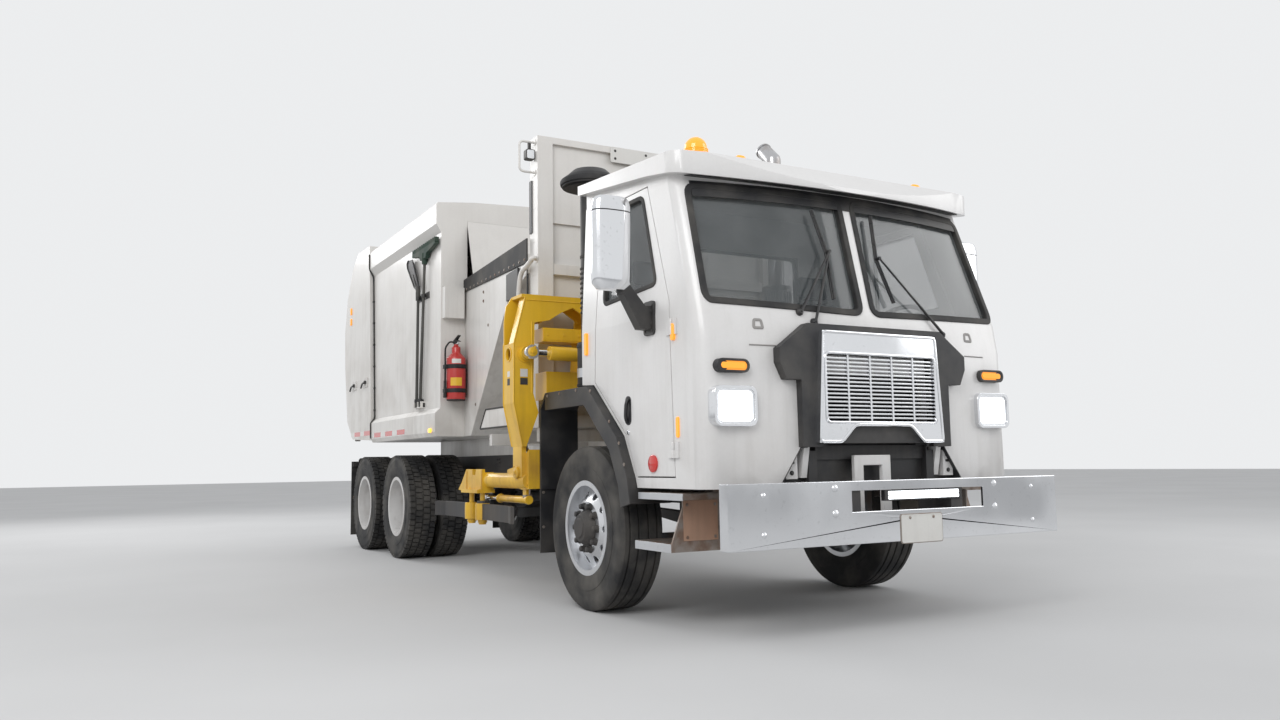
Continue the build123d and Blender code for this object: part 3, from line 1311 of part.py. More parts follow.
shell -= block(-1000, 1000, SEAM_TOP[0] - 200, SEAM_TOP[0] + 60, 3300, 3400)
write("body_shell", shell)
write("tailgate", tailgate)

# Ejector panel inside the body

EJECT_GAP = 12
EJECT_HALF = OPENING_HALF - EJECT_GAP
EJECT_BOTTOM = BODY_FLOOR + BODY_WALL + SEAT
panel_front, panel_back = BULKHEAD_Y + 60, BULKHEAD_Y + 110
ejector = block(-EJECT_HALF, EJECT_HALF, panel_front, panel_back, EJECT_BOTTOM, 2560)
ejector += block(-700, 700, panel_back - 10, panel_back + 210, EJECT_BOTTOM, 1330)
rib = ((panel_back - 10, 1300), (panel_back + 210, 1300), (panel_back, 2500), (panel_back - 10, 2500))
for x in (-650, -15, 620):
    ejector += along_x(rib, x, x + 30)
write("ejector_panel", ejector)

# Rubber: flaps over the hopper's sides and behind the rear wheels

flap_plan = along_z(
    (
        (SIDE_FRONT_X + HOPPER_T, HOPPER_FRONT),
        (OPENING_HALF + HOPPER_T, BULKHEAD_Y),
        (OPENING_HALF + HOPPER_T + 12, BULKHEAD_Y),
        (SIDE_FRONT_X + HOPPER_T + 12, HOPPER_FRONT),
    ),
    2000,
    2900,
)
FLAP_SIDE = ((HOPPER_FRONT, 2470), (HOPPER_FRONT, 2660), (BULKHEAD_Y, 2680), (BULKHEAD_Y, 2560))
side_flap = flap_plan & along_x(FLAP_SIDE, 800, 1300)
mud = block(600, 1200, MUD_Y, MUD_Y + 12, 130, FLAP_TOP)
write("rubber_flaps", *both_sides(side_flap), *both_sides(mud))

# Tanks: hydraulic oil beside the hopper's slope, fuel on the driver's side

oil = along_x(((1300, 1400), (1990, 1400), (2130, 1232), (1300, 1232)), -1130, -620)
oil += block(-700, -RAIL_X, 1500, 1560, 1000, 1240)
fuel = block(RAIL_X + 60, 1120, 1250, 2350, 620, 1080)
fuel = fillet(fuel.edges().filter_by(Axis.Y), 110)
fuel += block(RAIL_X, RAIL_X + 80, 1400, 1460, 700, 1000)
fuel += block(RAIL_X, RAIL_X + 80, 2140, 2200, 700, 1000)
write("tanks", oil, fuel)

# Air intake and exhaust stacks behind the cab

INTAKE = (-1010, 250)
INTAKE_R = 70
intake = bar((*INTAKE, 1440), (*INTAKE, 1760), 98)
intake += bar((*INTAKE, 1700), (*INTAKE, 2880), INTAKE_R)
INTAKE_CAP = ((0, INTAKE_R), (0, 190), (40, 195), (110, 120), (120, 0), (-20, 0), (-20, INTAKE_R))
intake += spun(INTAKE_CAP, (*INTAKE, 2860), (0, 0, 1))
intake += block(INTAKE[0], -RAIL_X + 60, INTAKE[1] - 25, INTAKE[1] + 25, 1455, 1505)
intake += block(-RAIL_X, -RAIL_X + 60, INTAKE[1] - 25, INTAKE[1] + 25, RAIL_TOP, 1505)
write("intake_stack", intake)

EXHAUST = (700, 400)
EXHAUST_R = 62
ELBOW_Z = 3330
exhaust = bar((*EXHAUST, 1120), (*EXHAUST, 2300), EXHAUST_R + 48)
exhaust += bar((*EXHAUST, 2290), (*EXHAUST, ELBOW_Z), EXHAUST_R)
exhaust += bar((*EXHAUST, ELBOW_Z), (EXHAUST[0], EXHAUST[1] + 120, ELBOW_Z + 110), EXHAUST_R)
exhaust += Pos(*EXHAUST, ELBOW_Z) * Sphere(EXHAUST_R)
exhaust += block(RAIL_X - 60, EXHAUST[0], 360, 440, RAIL_TOP, 1180)
write("exhaust_stack", exhaust)

# Extinguisher in its bracket, broom and shovel

EXT = (112 - WALL_X, BULKHEAD_Y - 110)
BOTTLE = ((0, 0), (0, 88), (380, 88), (430, 40), (480, 40), (500, 20), (540, 20), (540, 0))
ext = spun(BOTTLE, (*EXT, 1540), (0, 0, 1))
ext += block(EXT[0] - 30, EXT[0] + 30, EXT[1], BULKHEAD_Y, 1600, 1640)
ext += block(EXT[0] - 30, EXT[0] + 30, EXT[1], BULKHEAD_Y, 1820, 1860)
write("extinguisher", ext)

TOOL_X = -WALL_X - 32
HANDLE_R = 15
TOOLS_Y = BULKHEAD_Y + 530
BROOM_FOOT = (TOOLS_Y, 1500)
BROOM_TOP = (TOOLS_Y - 120, 3010)
BROOM_HEAD_H = 80
broom = bar((TOOL_X, *BROOM_FOOT), (TOOL_X, *BROOM_TOP), HANDLE_R)
broom += block(
    TOOL_X - 22,
    TOOL_X + 28,
    BROOM_TOP[0] - 400,
    BROOM_TOP[0] + 350,
    BROOM_TOP[1] - 10,
    BROOM_TOP[1] - 10 + BROOM_HEAD_H,
)
SHOVEL_FOOT = (TOOLS_Y + 113, 1490)
SHOVEL_NECK = (TOOLS_Y + 90, 2680)
shovel = bar((TOOL_X, *SHOVEL_FOOT), (TOOL_X, *SHOVEL_NECK), HANDLE_R)
# the blade's outline, as steps from the shovel's neck
BLADE = ((-50, 0), (50, 0), (360, 280), (330, 340), (210, 330))
blade = [(SHOVEL_NECK[0] + dy, SHOVEL_NECK[1] + dz) for dy, dz in BLADE]
shovel += along_x(blade, TOOL_X - 6, TOOL_X + 6)
hook = block(-WALL_X, TOOL_X - 18, TOOLS_Y - 60, TOOLS_Y + 155, 1545, 1585)
hook += block(-WALL_X, TOOL_X + 16, TOOLS_Y - 160, TOOLS_Y + 140, 2560, 2600)
write("hand_tools", broom + hook + shovel)
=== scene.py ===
import math

import bmesh
import bpy
from mathutils import Matrix, Vector


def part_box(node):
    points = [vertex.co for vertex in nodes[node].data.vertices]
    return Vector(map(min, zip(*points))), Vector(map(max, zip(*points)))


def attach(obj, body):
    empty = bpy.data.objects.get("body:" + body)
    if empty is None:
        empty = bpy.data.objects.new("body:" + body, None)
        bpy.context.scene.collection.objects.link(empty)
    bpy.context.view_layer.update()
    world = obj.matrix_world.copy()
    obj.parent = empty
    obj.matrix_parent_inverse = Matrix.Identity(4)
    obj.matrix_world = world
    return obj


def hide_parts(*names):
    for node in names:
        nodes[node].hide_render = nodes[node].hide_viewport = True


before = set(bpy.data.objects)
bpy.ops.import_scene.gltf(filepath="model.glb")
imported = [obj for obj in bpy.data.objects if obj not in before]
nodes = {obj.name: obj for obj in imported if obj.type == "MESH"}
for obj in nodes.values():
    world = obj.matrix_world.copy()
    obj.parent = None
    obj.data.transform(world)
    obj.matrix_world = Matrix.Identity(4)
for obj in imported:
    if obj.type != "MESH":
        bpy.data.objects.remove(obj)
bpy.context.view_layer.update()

# Places are in millimetres as in the CAD source, with lengths along Y counted from the front axle
axle_low, axle_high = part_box("tyre_front_kerb")
AXLE_Y = (axle_low.y + axle_high.y) / 2
TYRE_R = (axle_high.z - axle_low.z) * 500
MM = 0.001


def at(x, y, z):
    """A place in millimetres from the front axle's ground point, in the frame's metres."""
    return Vector((x * MM, y * MM + AXLE_Y, z * MM))


# Materials

MATERIALS = {}


def shade(colour, factor):
    """A colour made darker or lighter."""
    return tuple(c * factor for c in colour)


class Look:
    """The node tree of a material or the world, with short ways to add and link its nodes."""

    def __init__(self, owner, shader="Principled BSDF"):
        owner.use_nodes = True
        self.tree = owner.node_tree
        self.shader = self.tree.nodes[shader]

    def feed(self, node, inputs):
        """Gives each named input its link, colour or number."""
        for key, value in inputs.items():
            socket = node.inputs[key]
            if isinstance(value, bpy.types.NodeSocket):
                self.tree.links.new(value, socket)
            elif socket.type == "RGBA":
                socket.default_value = (*value, 1)
            else:
                socket.default_value = value

    def node(self, kind, output, inputs=None, **settings):
        """Adds a node and gives one of its outputs."""
        node = self.tree.nodes.new("ShaderNode" + kind)
        for key, value in settings.items():
            setattr(node, key, value)
        self.feed(node, inputs or {})
        return node.outputs[output]

    def finish(self, **inputs):
        """Feeds the shader; an underscore stands for a space in an input's name."""
        self.feed(self.shader, {key.replace("_", " "): value for key, value in inputs.items()})

    def place(self):
        """The place in the object's own space, which is metres above the ground along Z."""
        return self.node("TexCoord", "Object")

    def noise(self, scale, detail=4.0, stretch=(1, 1, 1)):
        """Noise in the object's own space, stretched along its axes."""
        spread = self.node("Mapping", "Vector", {"Vector": self.place(), "Scale": stretch})
        return self.node("TexNoise", "Fac", {"Vector": spread, "Scale": scale, "Detail": detail})

    def ramp(self, source, low=0, high=1, dark=0.0, light=1.0):
        """The source spread from dark at low to light at high."""
        inputs = {"Value": source, "From Min": low, "From Max": high, "To Min": dark, "To Max": light}
        return self.node("MapRange", "Result", inputs, clamp=True)

    def mixed(self, factor, first, second):
        """Two colours, or a colour and a link, mixed by a factor link."""
        return self.node("Mix", 2, {"Factor": factor, 6: first, 7: second}, data_type="RGBA")

    def multiplied(self, first, second):
        return self.node("Math", 0, {0: first, 1: second}, operation="MULTIPLY")

    def bump(self, height, strength, distance):
        inputs = {"Height": height, "Strength": strength, "Distance": distance}
        self.finish(Normal=self.node("Bump", "Normal", inputs))


def new_look(name):
    MATERIALS[name] = bpy.data.materials.new(name)
    return Look(MATERIALS[name])


def painted(name, colour, dirt=(0.33, 0.29, 0.25), grime=0.5, rough=0.28, coat=0.5, low=0.5, high=2.2):
    """Paint with road dust that is denser low down, rain streaks and a faint orange peel."""
    look = new_look(name)
    patches = look.noise(2.6, 6.0)
    streaks = look.noise(7.0, 5.0, (3.0, 3.0, 0.22))
    up = look.node("SeparateXYZ", "Z", {"Vector": look.place()})
    by_height = look.ramp(up, low, high, 1.0, 0.22)
    dusty = look.multiplied(look.ramp(patches, 0.42, 0.75, 0.1, 1.0), by_height)
    streaky = look.multiplied(look.ramp(streaks, 0.5, 0.8, 0.0, 0.55), by_height)
    tone = look.mixed(look.ramp(look.noise(60.0), 0.3, 0.7, 0.0, 0.35), colour, shade(colour, 0.93))
    with_dust = look.mixed(look.ramp(dusty, light=grime), tone, dirt)
    with_streaks = look.mixed(look.ramp(streaky, light=grime), with_dust, shade(dirt, 0.7))
    gloss = look.ramp(dusty, dark=rough, light=min(rough + 0.35, 0.9))
    look.finish(Base_Color=with_streaks, Roughness=gloss, Coat_Weight=coat, Coat_Roughness=0.12)
    look.bump(look.noise(240.0, 2.0), 0.04, 0.001)


def polished(name, colour, rough, smear=0.12, scale=3.0):
    """Bright metal with smears that change its gloss."""
    look = new_look(name)
    gloss = look.ramp(look.noise(scale, 6.0, (1, 1, 0.5)), 0.35, 0.75, rough, rough + smear)
    spots = look.ramp(look.noise(45.0, 3.0), 0.62, 0.8, 0.0, 0.35)
    look.finish(Metallic=1.0, Roughness=gloss, Base_Color=look.mixed(spots, colour, shade(colour, 0.6)))


def moulded(name, colour, rough=0.5, grain=320.0, dust=0.25, depth=0.0006):
    """Plastic or rubber with a fine grain and dust in its hollows."""
    look = new_look(name)
    patches = look.ramp(look.noise(4.0, 6.0), 0.4, 0.75, 0.0, dust)
    tone = look.mixed(patches, colour, (0.25, 0.23, 0.20))
    look.finish(Base_Color=tone, Roughness=look.ramp(patches, dark=rough, light=0.9))
    look.bump(look.noise(grain, 3.0), 0.25, depth)


def worn_steel(name, colour, rust=(0.20, 0.10, 0.055), amount=0.5, rough=0.45):
    """Bare or thinly painted steel with rust and rubbed patches."""
    look = new_look(name)
    rusty = look.ramp(look.noise(9.0, 8.0), 0.48, 0.66, 0.0, amount)
    gloss = look.ramp(rusty, dark=rough, light=0.85)
    look.finish(Metallic=0.75, Base_Color=look.mixed(rusty, colour, rust), Roughness=gloss)
    look.bump(look.noise(90.0, 5.0), 0.2, 0.001)


def lens(name, colour, glow=0.0, rough=0.08):
    """A coloured lamp lens with fine ribs, lit from inside where it glows; on reflectors and tape the glow is
    painted light.
    """
    look = new_look(name)
    look.finish(Base_Color=colour, Roughness=rough, Coat_Weight=0.6)
    look.finish(Emission_Color=colour, Emission_Strength=glow)
    ribs = look.node("TexWave", "Fac", {"Vector": look.place(), "Scale": 28.0, "Distortion": 0.0})
    look.bump(ribs, 0.12, 0.001)


def window_glass(name, tint, alpha):
    """Thin tinted glass with a film of dust."""
    look = new_look(name)
    dusty = look.ramp(look.noise(3.0, 7.0), 0.4, 0.8, 0.0, 0.35)
    film = look.ramp(dusty, dark=alpha, light=min(alpha + 0.25, 1))
    look.finish(Base_Color=look.mixed(dusty, tint, (0.30, 0.31, 0.31)), Alpha=film)
    look.finish(Roughness=0.03, Coat_Weight=1.0, Coat_Roughness=0.02)


def woven(name, colour):
    """Seat cloth with a small weave."""
    look = new_look(name)
    weave = look.node("TexVoronoi", "Distance", {"Vector": look.place(), "Scale": 420.0})
    tone = look.mixed(look.ramp(weave, 0, 0.8), colour, shade(colour, 1.3))
    look.finish(Base_Color=tone, Roughness=0.9)
    look.bump(weave, 0.15, 0.0006)


painted("cab_white", (0.74, 0.73, 0.72), grime=0.30)
painted("body_white", (0.72, 0.70, 0.67), grime=0.48, rough=0.38, coat=0.25, low=1.1, high=3.2)
painted("arm_yellow", (0.83, 0.50, 0.025), (0.24, 0.10, 0.03), grime=0.72, rough=0.35, coat=0.3, high=2.0)
painted("frame_black", (0.022, 0.022, 0.024), (0.16, 0.14, 0.12), rough=0.5, coat=0.0)
painted("wheel_white", (0.66, 0.65, 0.64), (0.26, 0.22, 0.18), 0.55, rough=0.4, coat=0.2, low=0, high=2)
painted("red_paint", (0.52, 0.018, 0.014), grime=0.2, rough=0.25)
polished("chrome", (0.80, 0.81, 0.83), 0.06, smear=0.16)
polished("wheel_silver", (0.66, 0.67, 0.69), 0.28, smear=0.2, scale=6.0)
worn_steel("bare_steel", (0.33, 0.29, 0.26), amount=0.6)
worn_steel("cast_grey", (0.07, 0.07, 0.072), rust=(0.11, 0.07, 0.045), amount=0.55, rough=0.6)
worn_steel("exhaust_steel", (0.50, 0.50, 0.51), rust=(0.24, 0.17, 0.12), amount=0.4, rough=0.28)
moulded("plastic_black", (0.018, 0.018, 0.02), rough=0.45)
moulded("rubber_black", (0.014, 0.014, 0.015), rough=0.7, grain=120.0, dust=0.3)
moulded("tyre_black", (0.016, 0.016, 0.017), rough=0.78, grain=90.0, dust=0.42, depth=0.0012)
moulded("interior_grey", (0.055, 0.055, 0.06), rough=0.6, dust=0.05)
moulded("tool_handle", (0.05, 0.05, 0.045), rough=0.5)
lens("lamp_clear", (0.82, 0.84, 0.86), rough=0.04)
lens("headlight_glow", (0.92, 0.96, 1.0), glow=2.6)
lens("amber_lens", (1.0, 0.36, 0.02), glow=0.5)
lens("amber_lit", (1.0, 0.50, 0.05), glow=1.6)
# This faint glow is painted light on the red reflectors and dashes, which are no lamps
lens("red_lens", (0.55, 0.02, 0.015), glow=0.05)
window_glass("glass", (0.10, 0.115, 0.12), 0.38)
polished("mirror_face", (0.42, 0.44, 0.46), 0.03, smear=0.05)
painted("plate_white", (0.70, 0.69, 0.66), grime=0.3, low=0.2, high=1.2)
painted("seam_grey", (0.30, 0.29, 0.28), grime=0.4, rough=0.6, coat=0.0)
painted("step_tan", (0.42, 0.25, 0.17), (0.22, 0.16, 0.12), grime=0.6, rough=0.55, coat=0.0)
moulded("broom_green", (0.018, 0.045, 0.03), rough=0.75, dust=0.5)
woven("seat_grey", (0.045, 0.045, 0.05))

# The CAD nodes of each material; a star stands for either side's name
NODE_MATERIALS = {
    "cab_white": "cab_shell door_*",
    "body_white": "body_shell tailgate hopper hopper_shield ejector_panel tanks",
    "arm_yellow": "lift_arm gripper_base carriage reach_housing lift_cylinder",
    "frame_black": "frame_rails suspension finger_front finger_rear",
    "cast_grey": "front_axle rear_axles knuckle_* tie_rod engine",
    "chrome": "bumper grille mirror_* lift_rod grip_rod",
    "exhaust_steel": "exhaust_stack",
    "bare_steel": "steps",
    "plastic_black": "grille_shroud front_fenders intake_stack",
    "interior_grey": "dash",
    "rubber_black": "rubber_flaps",
    "glass": "cab_glass door_glass_*",
    "lamp_clear": "lamps",
    "seat_grey": "seats",
    "red_paint": "extinguisher",
    "tool_handle": "hand_tools",
    "wheel_silver": "rim_front_*",
    "wheel_white": "rims_mid_* rims_rear_*",
    "tyre_black": "tyre_front_* tyres_mid_* tyres_rear_*",
}
SIDES = (("kerb", -1), ("street", 1))
SOFT_EDGE = 3 * MM
PLAIN_EDGES = {"glass", "tyre_black", "seat_grey"}


def soften(piece, width, angle=35):
    """Welded corners and a small rounding along the sharp edges."""
    weld = piece.modifiers.new("weld", "WELD")
    weld.merge_threshold = 0.02 * MM
    edge = piece.modifiers.new("edge", "BEVEL")
    edge.width = width
    edge.segments = 2
    edge.limit_method = "ANGLE"
    edge.angle_limit = math.radians(angle)
    edge.harden_normals = False


for material_name, pattern in NODE_MATERIALS.items():
    both_sides = " ".join(pattern.replace("*", side[0]) for side in SIDES)
    for node_name in dict.fromkeys(both_sides.split()):
        for material_slot in nodes[node_name].material_slots:
            material_slot.material = MATERIALS[material_name]
        if material_name not in PLAIN_EDGES:
            soften(nodes[node_name], SOFT_EDGE)

# Shapes, in millimetres from the front axle's ground point. They are drawn into one mesh, and
# piece() makes an object of what is drawn and starts the next

drawn = bmesh.new()
FRONT, BACK, UP, KERB, STREET = (0, -1, 0), (0, 1, 0), (0, 0, 1), (-1, 0, 0), (1, 0, 0)


def skin(rows, loop=False):
    """Faces between closed rows of points. A loop joins its last row to the first, else the ends are shut."""
    rows = [[drawn.verts.new(point) for point in row] for row in rows]
    if not loop:
        drawn.faces.new(rows[0][::-1])
        drawn.faces.new(rows[-1])
    for first, last in zip(rows, rows[1:] + (rows[:1] if loop else [])):
        for index in range(len(first)):
            after = (index + 1) % len(first)
            drawn.faces.new((first[index], first[after], last[after], last[index]))


def prism(outline, way):
    """A closed prism: an outline of (x, y, z) points pushed along a way."""
    outline = [Vector(point) for point in outline]
    skin([outline, [point + Vector(way) for point in outline]])


def block(x0, x1, y0, y1, z0, z1):
    prism([(x0, y0, z0), (x1, y0, z0), (x1, y1, z0), (x0, y1, z0)], (0, 0, z1 - z0))


def lathe(profile, middle, axis=(1, 0, 0), sides=48):
    """A profile of (along, radius) points turned about an axis; its ends meet the axis or each other."""
    axis = Vector(axis).normalized()
    across = axis.orthogonal().normalized()
    third = axis.cross(across)
    rings = []
    for along, radius in profile:
        centre = Vector(middle) + axis * along
        if radius < 0.01:
            rings.append([drawn.verts.new(centre)])
            continue
        angles = [2 * math.pi * side / sides for side in range(sides)]
        spokes = [across * math.cos(angle) + third * math.sin(angle) for angle in angles]
        rings.append([drawn.verts.new(centre + spoke * radius) for spoke in spokes])
    pairs = list(zip(rings, rings[1:]))
    if len(rings[0]) > 1 and len(rings[-1]) > 1:
        pairs.append((rings[-1], rings[0]))
    for first, last in pairs:
        for side in range(sides):
            after = (side + 1) % sides
            corners = [first[side % len(first)], first[after % len(first)]]
            corners += [last[after % len(last)], last[side % len(last)]]
            unique = list(dict.fromkeys(corners))
            if len(unique) > 2:
                drawn.faces.new(unique)


def turned(profile, place, axis, sides):
    """A solid of revolution, flat at both ends."""
    lathe([(profile[0][0], 0), *profile, (profile[-1][0], 0)], place, axis, sides)


def ring(place, axis, inner, outer, start, end, sides):
    """A flat-ended ring or band, from start to end along an axis."""
    lathe([(start, inner), (start, outer), (end, outer), (end, inner)], place, axis, sides)


def rod(start, end, radius, sides=16, end_radius=None):
    """A round bar between two points, tapered if an end radius is given."""
    way = Vector(end) - Vector(start)
    last = radius if end_radius is None else end_radius
    turned([(0, radius), (way.length, last)], start, way, sides)


def rods(path, radius, sides):
    """A bar along a path, as one rod for each run."""
    for start, end in zip(path, path[1:]):
        rod(start, end, radius, sides)


def curve(before, corner, after, radius, steps, share):
    """The points of a rounded corner, which takes a share of each run at most."""
    reach = min(radius, (before - corner).length / share, (after - corner).length / share)
    enter = corner + (before - corner).normalized() * reach
    leave = corner + (after - corner).normalized() * reach
    places = [step / steps for step in range(steps + 1)]
    return [enter * (1 - t) ** 2 + corner * 2 * t * (1 - t) + leave * t**2 for t in places]


def pipe(points, radius, sides=14, bend=40):
    """A round pipe along points, its corners rounded by a bend."""
    points = [Vector(point) for point in points]
    path = [points[0]]
    for before, corner, after in zip(points, points[1:], points[2:]):
        path += curve(before, corner, after, bend, 5, 2.2)
    path.append(points[-1])
    rows = []
    angles = [2 * math.pi * side / sides for side in range(sides)]
    across = (path[1] - path[0]).orthogonal().normalized()
    for index, place in enumerate(path):
        way = (path[min(index + 1, len(path) - 1)] - path[max(index - 1, 0)]).normalized()
        across = (across - way * across.dot(way)).normalized()
        third = way.cross(across)
        rows.append([place + across * radius * math.cos(a) + third * radius * math.sin(a) for a in angles])
    skin(rows)


def bolt(place, axis, radius=9, height=7):
    """A hex head with a washer, its base at a place and its top along an axis."""
    washer = radius * 1.35
    turned([(0, washer), (height * 0.3, washer)], place, axis, 16)
    turned([(height * 0.2, radius), (height, radius * 0.94)], place, axis, 6)


def bolts(places, axis, radius, height):
    for place in places:
        bolt(place, axis, radius, height)


def rounded(half_width, half_height, radius, steps=5):
    """A rounded rectangle as (across, up) points."""
    points = []
    for corner in range(4):
        cx = (half_width - radius) * (1 if corner in (0, 3) else -1)
        cz = (half_height - radius) * (1 if corner in (0, 1) else -1)
        for step in range(steps + 1):
            angle = math.pi / 2 * (corner + step / steps)
            points.append((cx + radius * math.cos(angle), cz + radius * math.sin(angle)))
    return points


def plate(place, size, depth):
    """A rounded plate that faces the front, of half width, half height and corner radius."""
    x, y, z = place
    prism([(x + a, y, z + b) for a, b in rounded(*size)], (0, depth, 0))


def side_plate(place, size, depth, side=1):
    """A rounded plate that faces a side of the truck."""
    x, y, z = place
    prism([(side * x, y + a, z + b) for a, b in rounded(*size)], (side * depth, 0, 0))


def frame_ring(outer, inner, place, y0, y1):
    """A ring between two rounded rectangles, facing the front, from y0 back to y1."""
    x, z = place
    rows = ((outer, y1), (outer, y0), (inner, y0), (inner, y1))
    skin([[(x + a, y, z + b) for a, b in rounded(*size)] for size, y in rows], loop=True)


def piece(name, material, body="chassis", slot=None, edge=0.0, smooth=35, replaces=()):
    """Makes an object of what is drawn, dresses it and lets it ride on a body."""
    global drawn
    bmesh.ops.recalc_face_normals(drawn, faces=drawn.faces)
    for vertex in drawn.verts:
        vertex.co = at(*vertex.co)
    mesh = bpy.data.meshes.new(name)
    drawn.to_mesh(mesh)
    drawn.free()
    drawn = bmesh.new()
    mesh.shade_smooth()
    mesh.set_sharp_from_angle(angle=math.radians(smooth))
    mesh.materials.append(MATERIALS[material])
    obj = bpy.data.objects.new(name, mesh)
    bpy.context.scene.collection.objects.link(obj)
    if edge:
        soften(obj, edge * MM)
    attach(obj, body)
    if replaces:
        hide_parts(*replaces)
    return obj


def mirror():
    """Adds the other side of all that is drawn."""
    parts = drawn.verts[:] + drawn.edges[:] + drawn.faces[:]
    for part in bmesh.ops.duplicate(drawn, geom=parts)["geom"]:
        if isinstance(part, bmesh.types.BMVert):
            part.co.x = -part.co.x


def on_y(y, outline):
    """An outline of (x, z) points set at a length."""
    return [(x, y, z) for x, z in outline]


def on_x(x, outline):
    """An outline of (y, z) points set at a width."""
    return [(x, y, z) for y, z in outline]


def around(count, radius, y, z, shift=0.0):
    """Places on a circle across the truck, as (y, z) points."""
    angles = [2 * math.pi * (index + shift) / count for index in range(count)]
    return [(y + radius * math.cos(angle), z + radius * math.sin(angle)) for angle in angles]


# Tyres: ribbed in front, blocked behind, with ridges on their walls

FRONT_TYRE_W = 300
REAR_TYRE_W = 279
RIM_EDGE_R = 296
TREAD_DEPTH = 13
# Places across half a tyre, counted from its widest, with their height over the rim's edge
WALL = ((26, -8), (14, 6), (8, 24), (4, 48), (0, 84), (0.5, 100), (3.5, 102), (3, 128), (6, 152))
# The same beside the tread, with their depth under it
SHOULDER = ((2, 62), (8, 34), (14, 12), (24, 3))


def tyre_profile(half, grooves):
    """The outline of one tyre from bead to bead, with grooves at the given places across its tread."""
    wall = [(half - inset, RIM_EDGE_R + rise) for inset, rise in WALL]
    wall += [(half - inset, TYRE_R - fall) for inset, fall in SHOULDER]
    tread = []
    for place, width in grooves:
        for share, depth in ((0.5, 0.5), (0.25, TREAD_DEPTH), (-0.25, TREAD_DEPTH), (-0.5, 0.5)):
            tread.append((place + width * share, TYRE_R - depth))
    return wall + tread + [(-along, radius) for along, radius in wall[::-1]]


def add_tyre(x, y, width, blocked):
    half = width / 2
    grooves = [] if blocked else [(place * half, 15) for place in (0.62, 0.22, -0.22, -0.62)]
    profile = tyre_profile(half, grooves)
    if blocked:
        profile = [(a, r) if r < TYRE_R - 20 else (a, r - TREAD_DEPTH) for a, r in profile]
    lathe(profile, (x, y, TYRE_R), (1, 0, 0), 96)
    if not blocked:
        return
    blocks = 56
    for place, span, shift in ((-0.75, 0.18, 0.0), (-0.27, 0.22, 0.5), (0.27, 0.22, 0.0), (0.75, 0.18, 0.5)):
        x0, x1 = x + (place - span) * half, x + (place + span) * half
        for index in range(blocks):
            rows = []
            for sink in (32, 0.6):
                row = []
                for across, turn, skew in ((x0, 0.10, 0), (x1, 0.10, 0), (x1, 0.82, 0.12), (x0, 0.82, 0)):
                    angle = 2 * math.pi * (index + turn + skew + shift) / blocks
                    reach = TYRE_R - sink
                    row.append((across, y + math.cos(angle) * reach, TYRE_R + math.sin(angle) * reach))
                rows.append(row)
            skin(rows)


def tyre_place(node):
    """The middle of a tyre node along the truck, and its ends across it."""
    low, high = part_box(node)
    return ((low.y + high.y) / 2 - AXLE_Y) / MM, low.x / MM, high.x / MM


for side_name, side in SIDES:
    name = f"tyre_front_{side_name}"
    y, low_x, high_x = tyre_place(name)
    add_tyre((low_x + high_x) / 2, y, FRONT_TYRE_W, False)
    piece(f"{name}_tread", "tyre_black", f"wheel_front_{side_name}", replaces=(name,))
    for place in ("mid", "rear"):
        name = f"tyres_{place}_{side_name}"
        y, low_x, high_x = tyre_place(name)
        for tyre_x in (low_x + REAR_TYRE_W / 2, high_x - REAR_TYRE_W / 2):
            add_tyre(tyre_x, y, REAR_TYRE_W, True)
        piece(f"{name}_tread", "tyre_black", f"wheels_{place}_{side_name}", replaces=(name,))

# Wheel nuts and hub caps

FRONT_DISC_X = 1162
REAR_SEAM_X = 893.5
REAR_AXLE_YS = {"mid": 4440, "rear": 5760}
NUT_CIRCLE = 142
NUTS = 10


def wheel_nuts(side, x, y, flange, nut):
    """Ten nuts round a wheel's disc, each on a flange, with a tapered tip."""
    profile = [(0, 0), (0, 25), (flange, 25), (flange, 19), (nut, 18), (nut + 4, 12), (nut + 4, 0)]
    for place in around(NUTS, NUT_CIRCLE, y, TYRE_R):
        lathe(profile, (side * x, *place), (side, 0, 0), 12)


for side_name, side in SIDES:
    wheel_nuts(side, FRONT_DISC_X + 12, 0, 9, 34)
    hub = [(0, 0), (0, 121), (17, 121), (24, 116), (60, 91), (68, 84), (70, 64), (78, 58), (78, 0)]
    lathe(hub, (side * (FRONT_DISC_X + 3), 0, TYRE_R), (side, 0, 0), 64)
    feet = around(6, 66, 0, TYRE_R, 0.5)
    bolts([(side * (FRONT_DISC_X + 66), *foot) for foot in feet], (side, 0, 0), 7, 8)
    piece(f"hub_cap_{side_name}", "frame_black", f"wheel_front_{side_name}", edge=1.2)

for side_name, side in SIDES:
    for place, axle_y in REAR_AXLE_YS.items():
        hub = [(14, 0), (14, 121), (132, 121), (139, 116), (178, 90), (187, 82), (190, 60), (190, 0)]
        lathe(hub, (side * REAR_SEAM_X, axle_y, TYRE_R), (side, 0, 0), 64)
        feet = around(8, 70, axle_y, TYRE_R, 0.5)
        bolts([(side * (REAR_SEAM_X + 187), *foot) for foot in feet], (side, 0, 0), 8, 10)
        wheel_nuts(side, REAR_SEAM_X + 14, axle_y, 10, 46)
        piece(f"hub_{place}_{side_name}", "cast_grey", f"wheels_{place}_{side_name}", edge=1.2)

# The cab's front as a surface, from the same levels that the source uses:
# height, half width, front at the middle, front beside the corner, corner radius

CAB_LEVELS = (
    (790, 1165, -1440, -1395, 105),
    (1600, 1170, -1428, -1385, 100),
    (1790, 1170, -1396, -1350, 90),
    (2640, 1130, -1192, -1060, 80),
)
VISOR = (1180, -1330, -1165, 110)


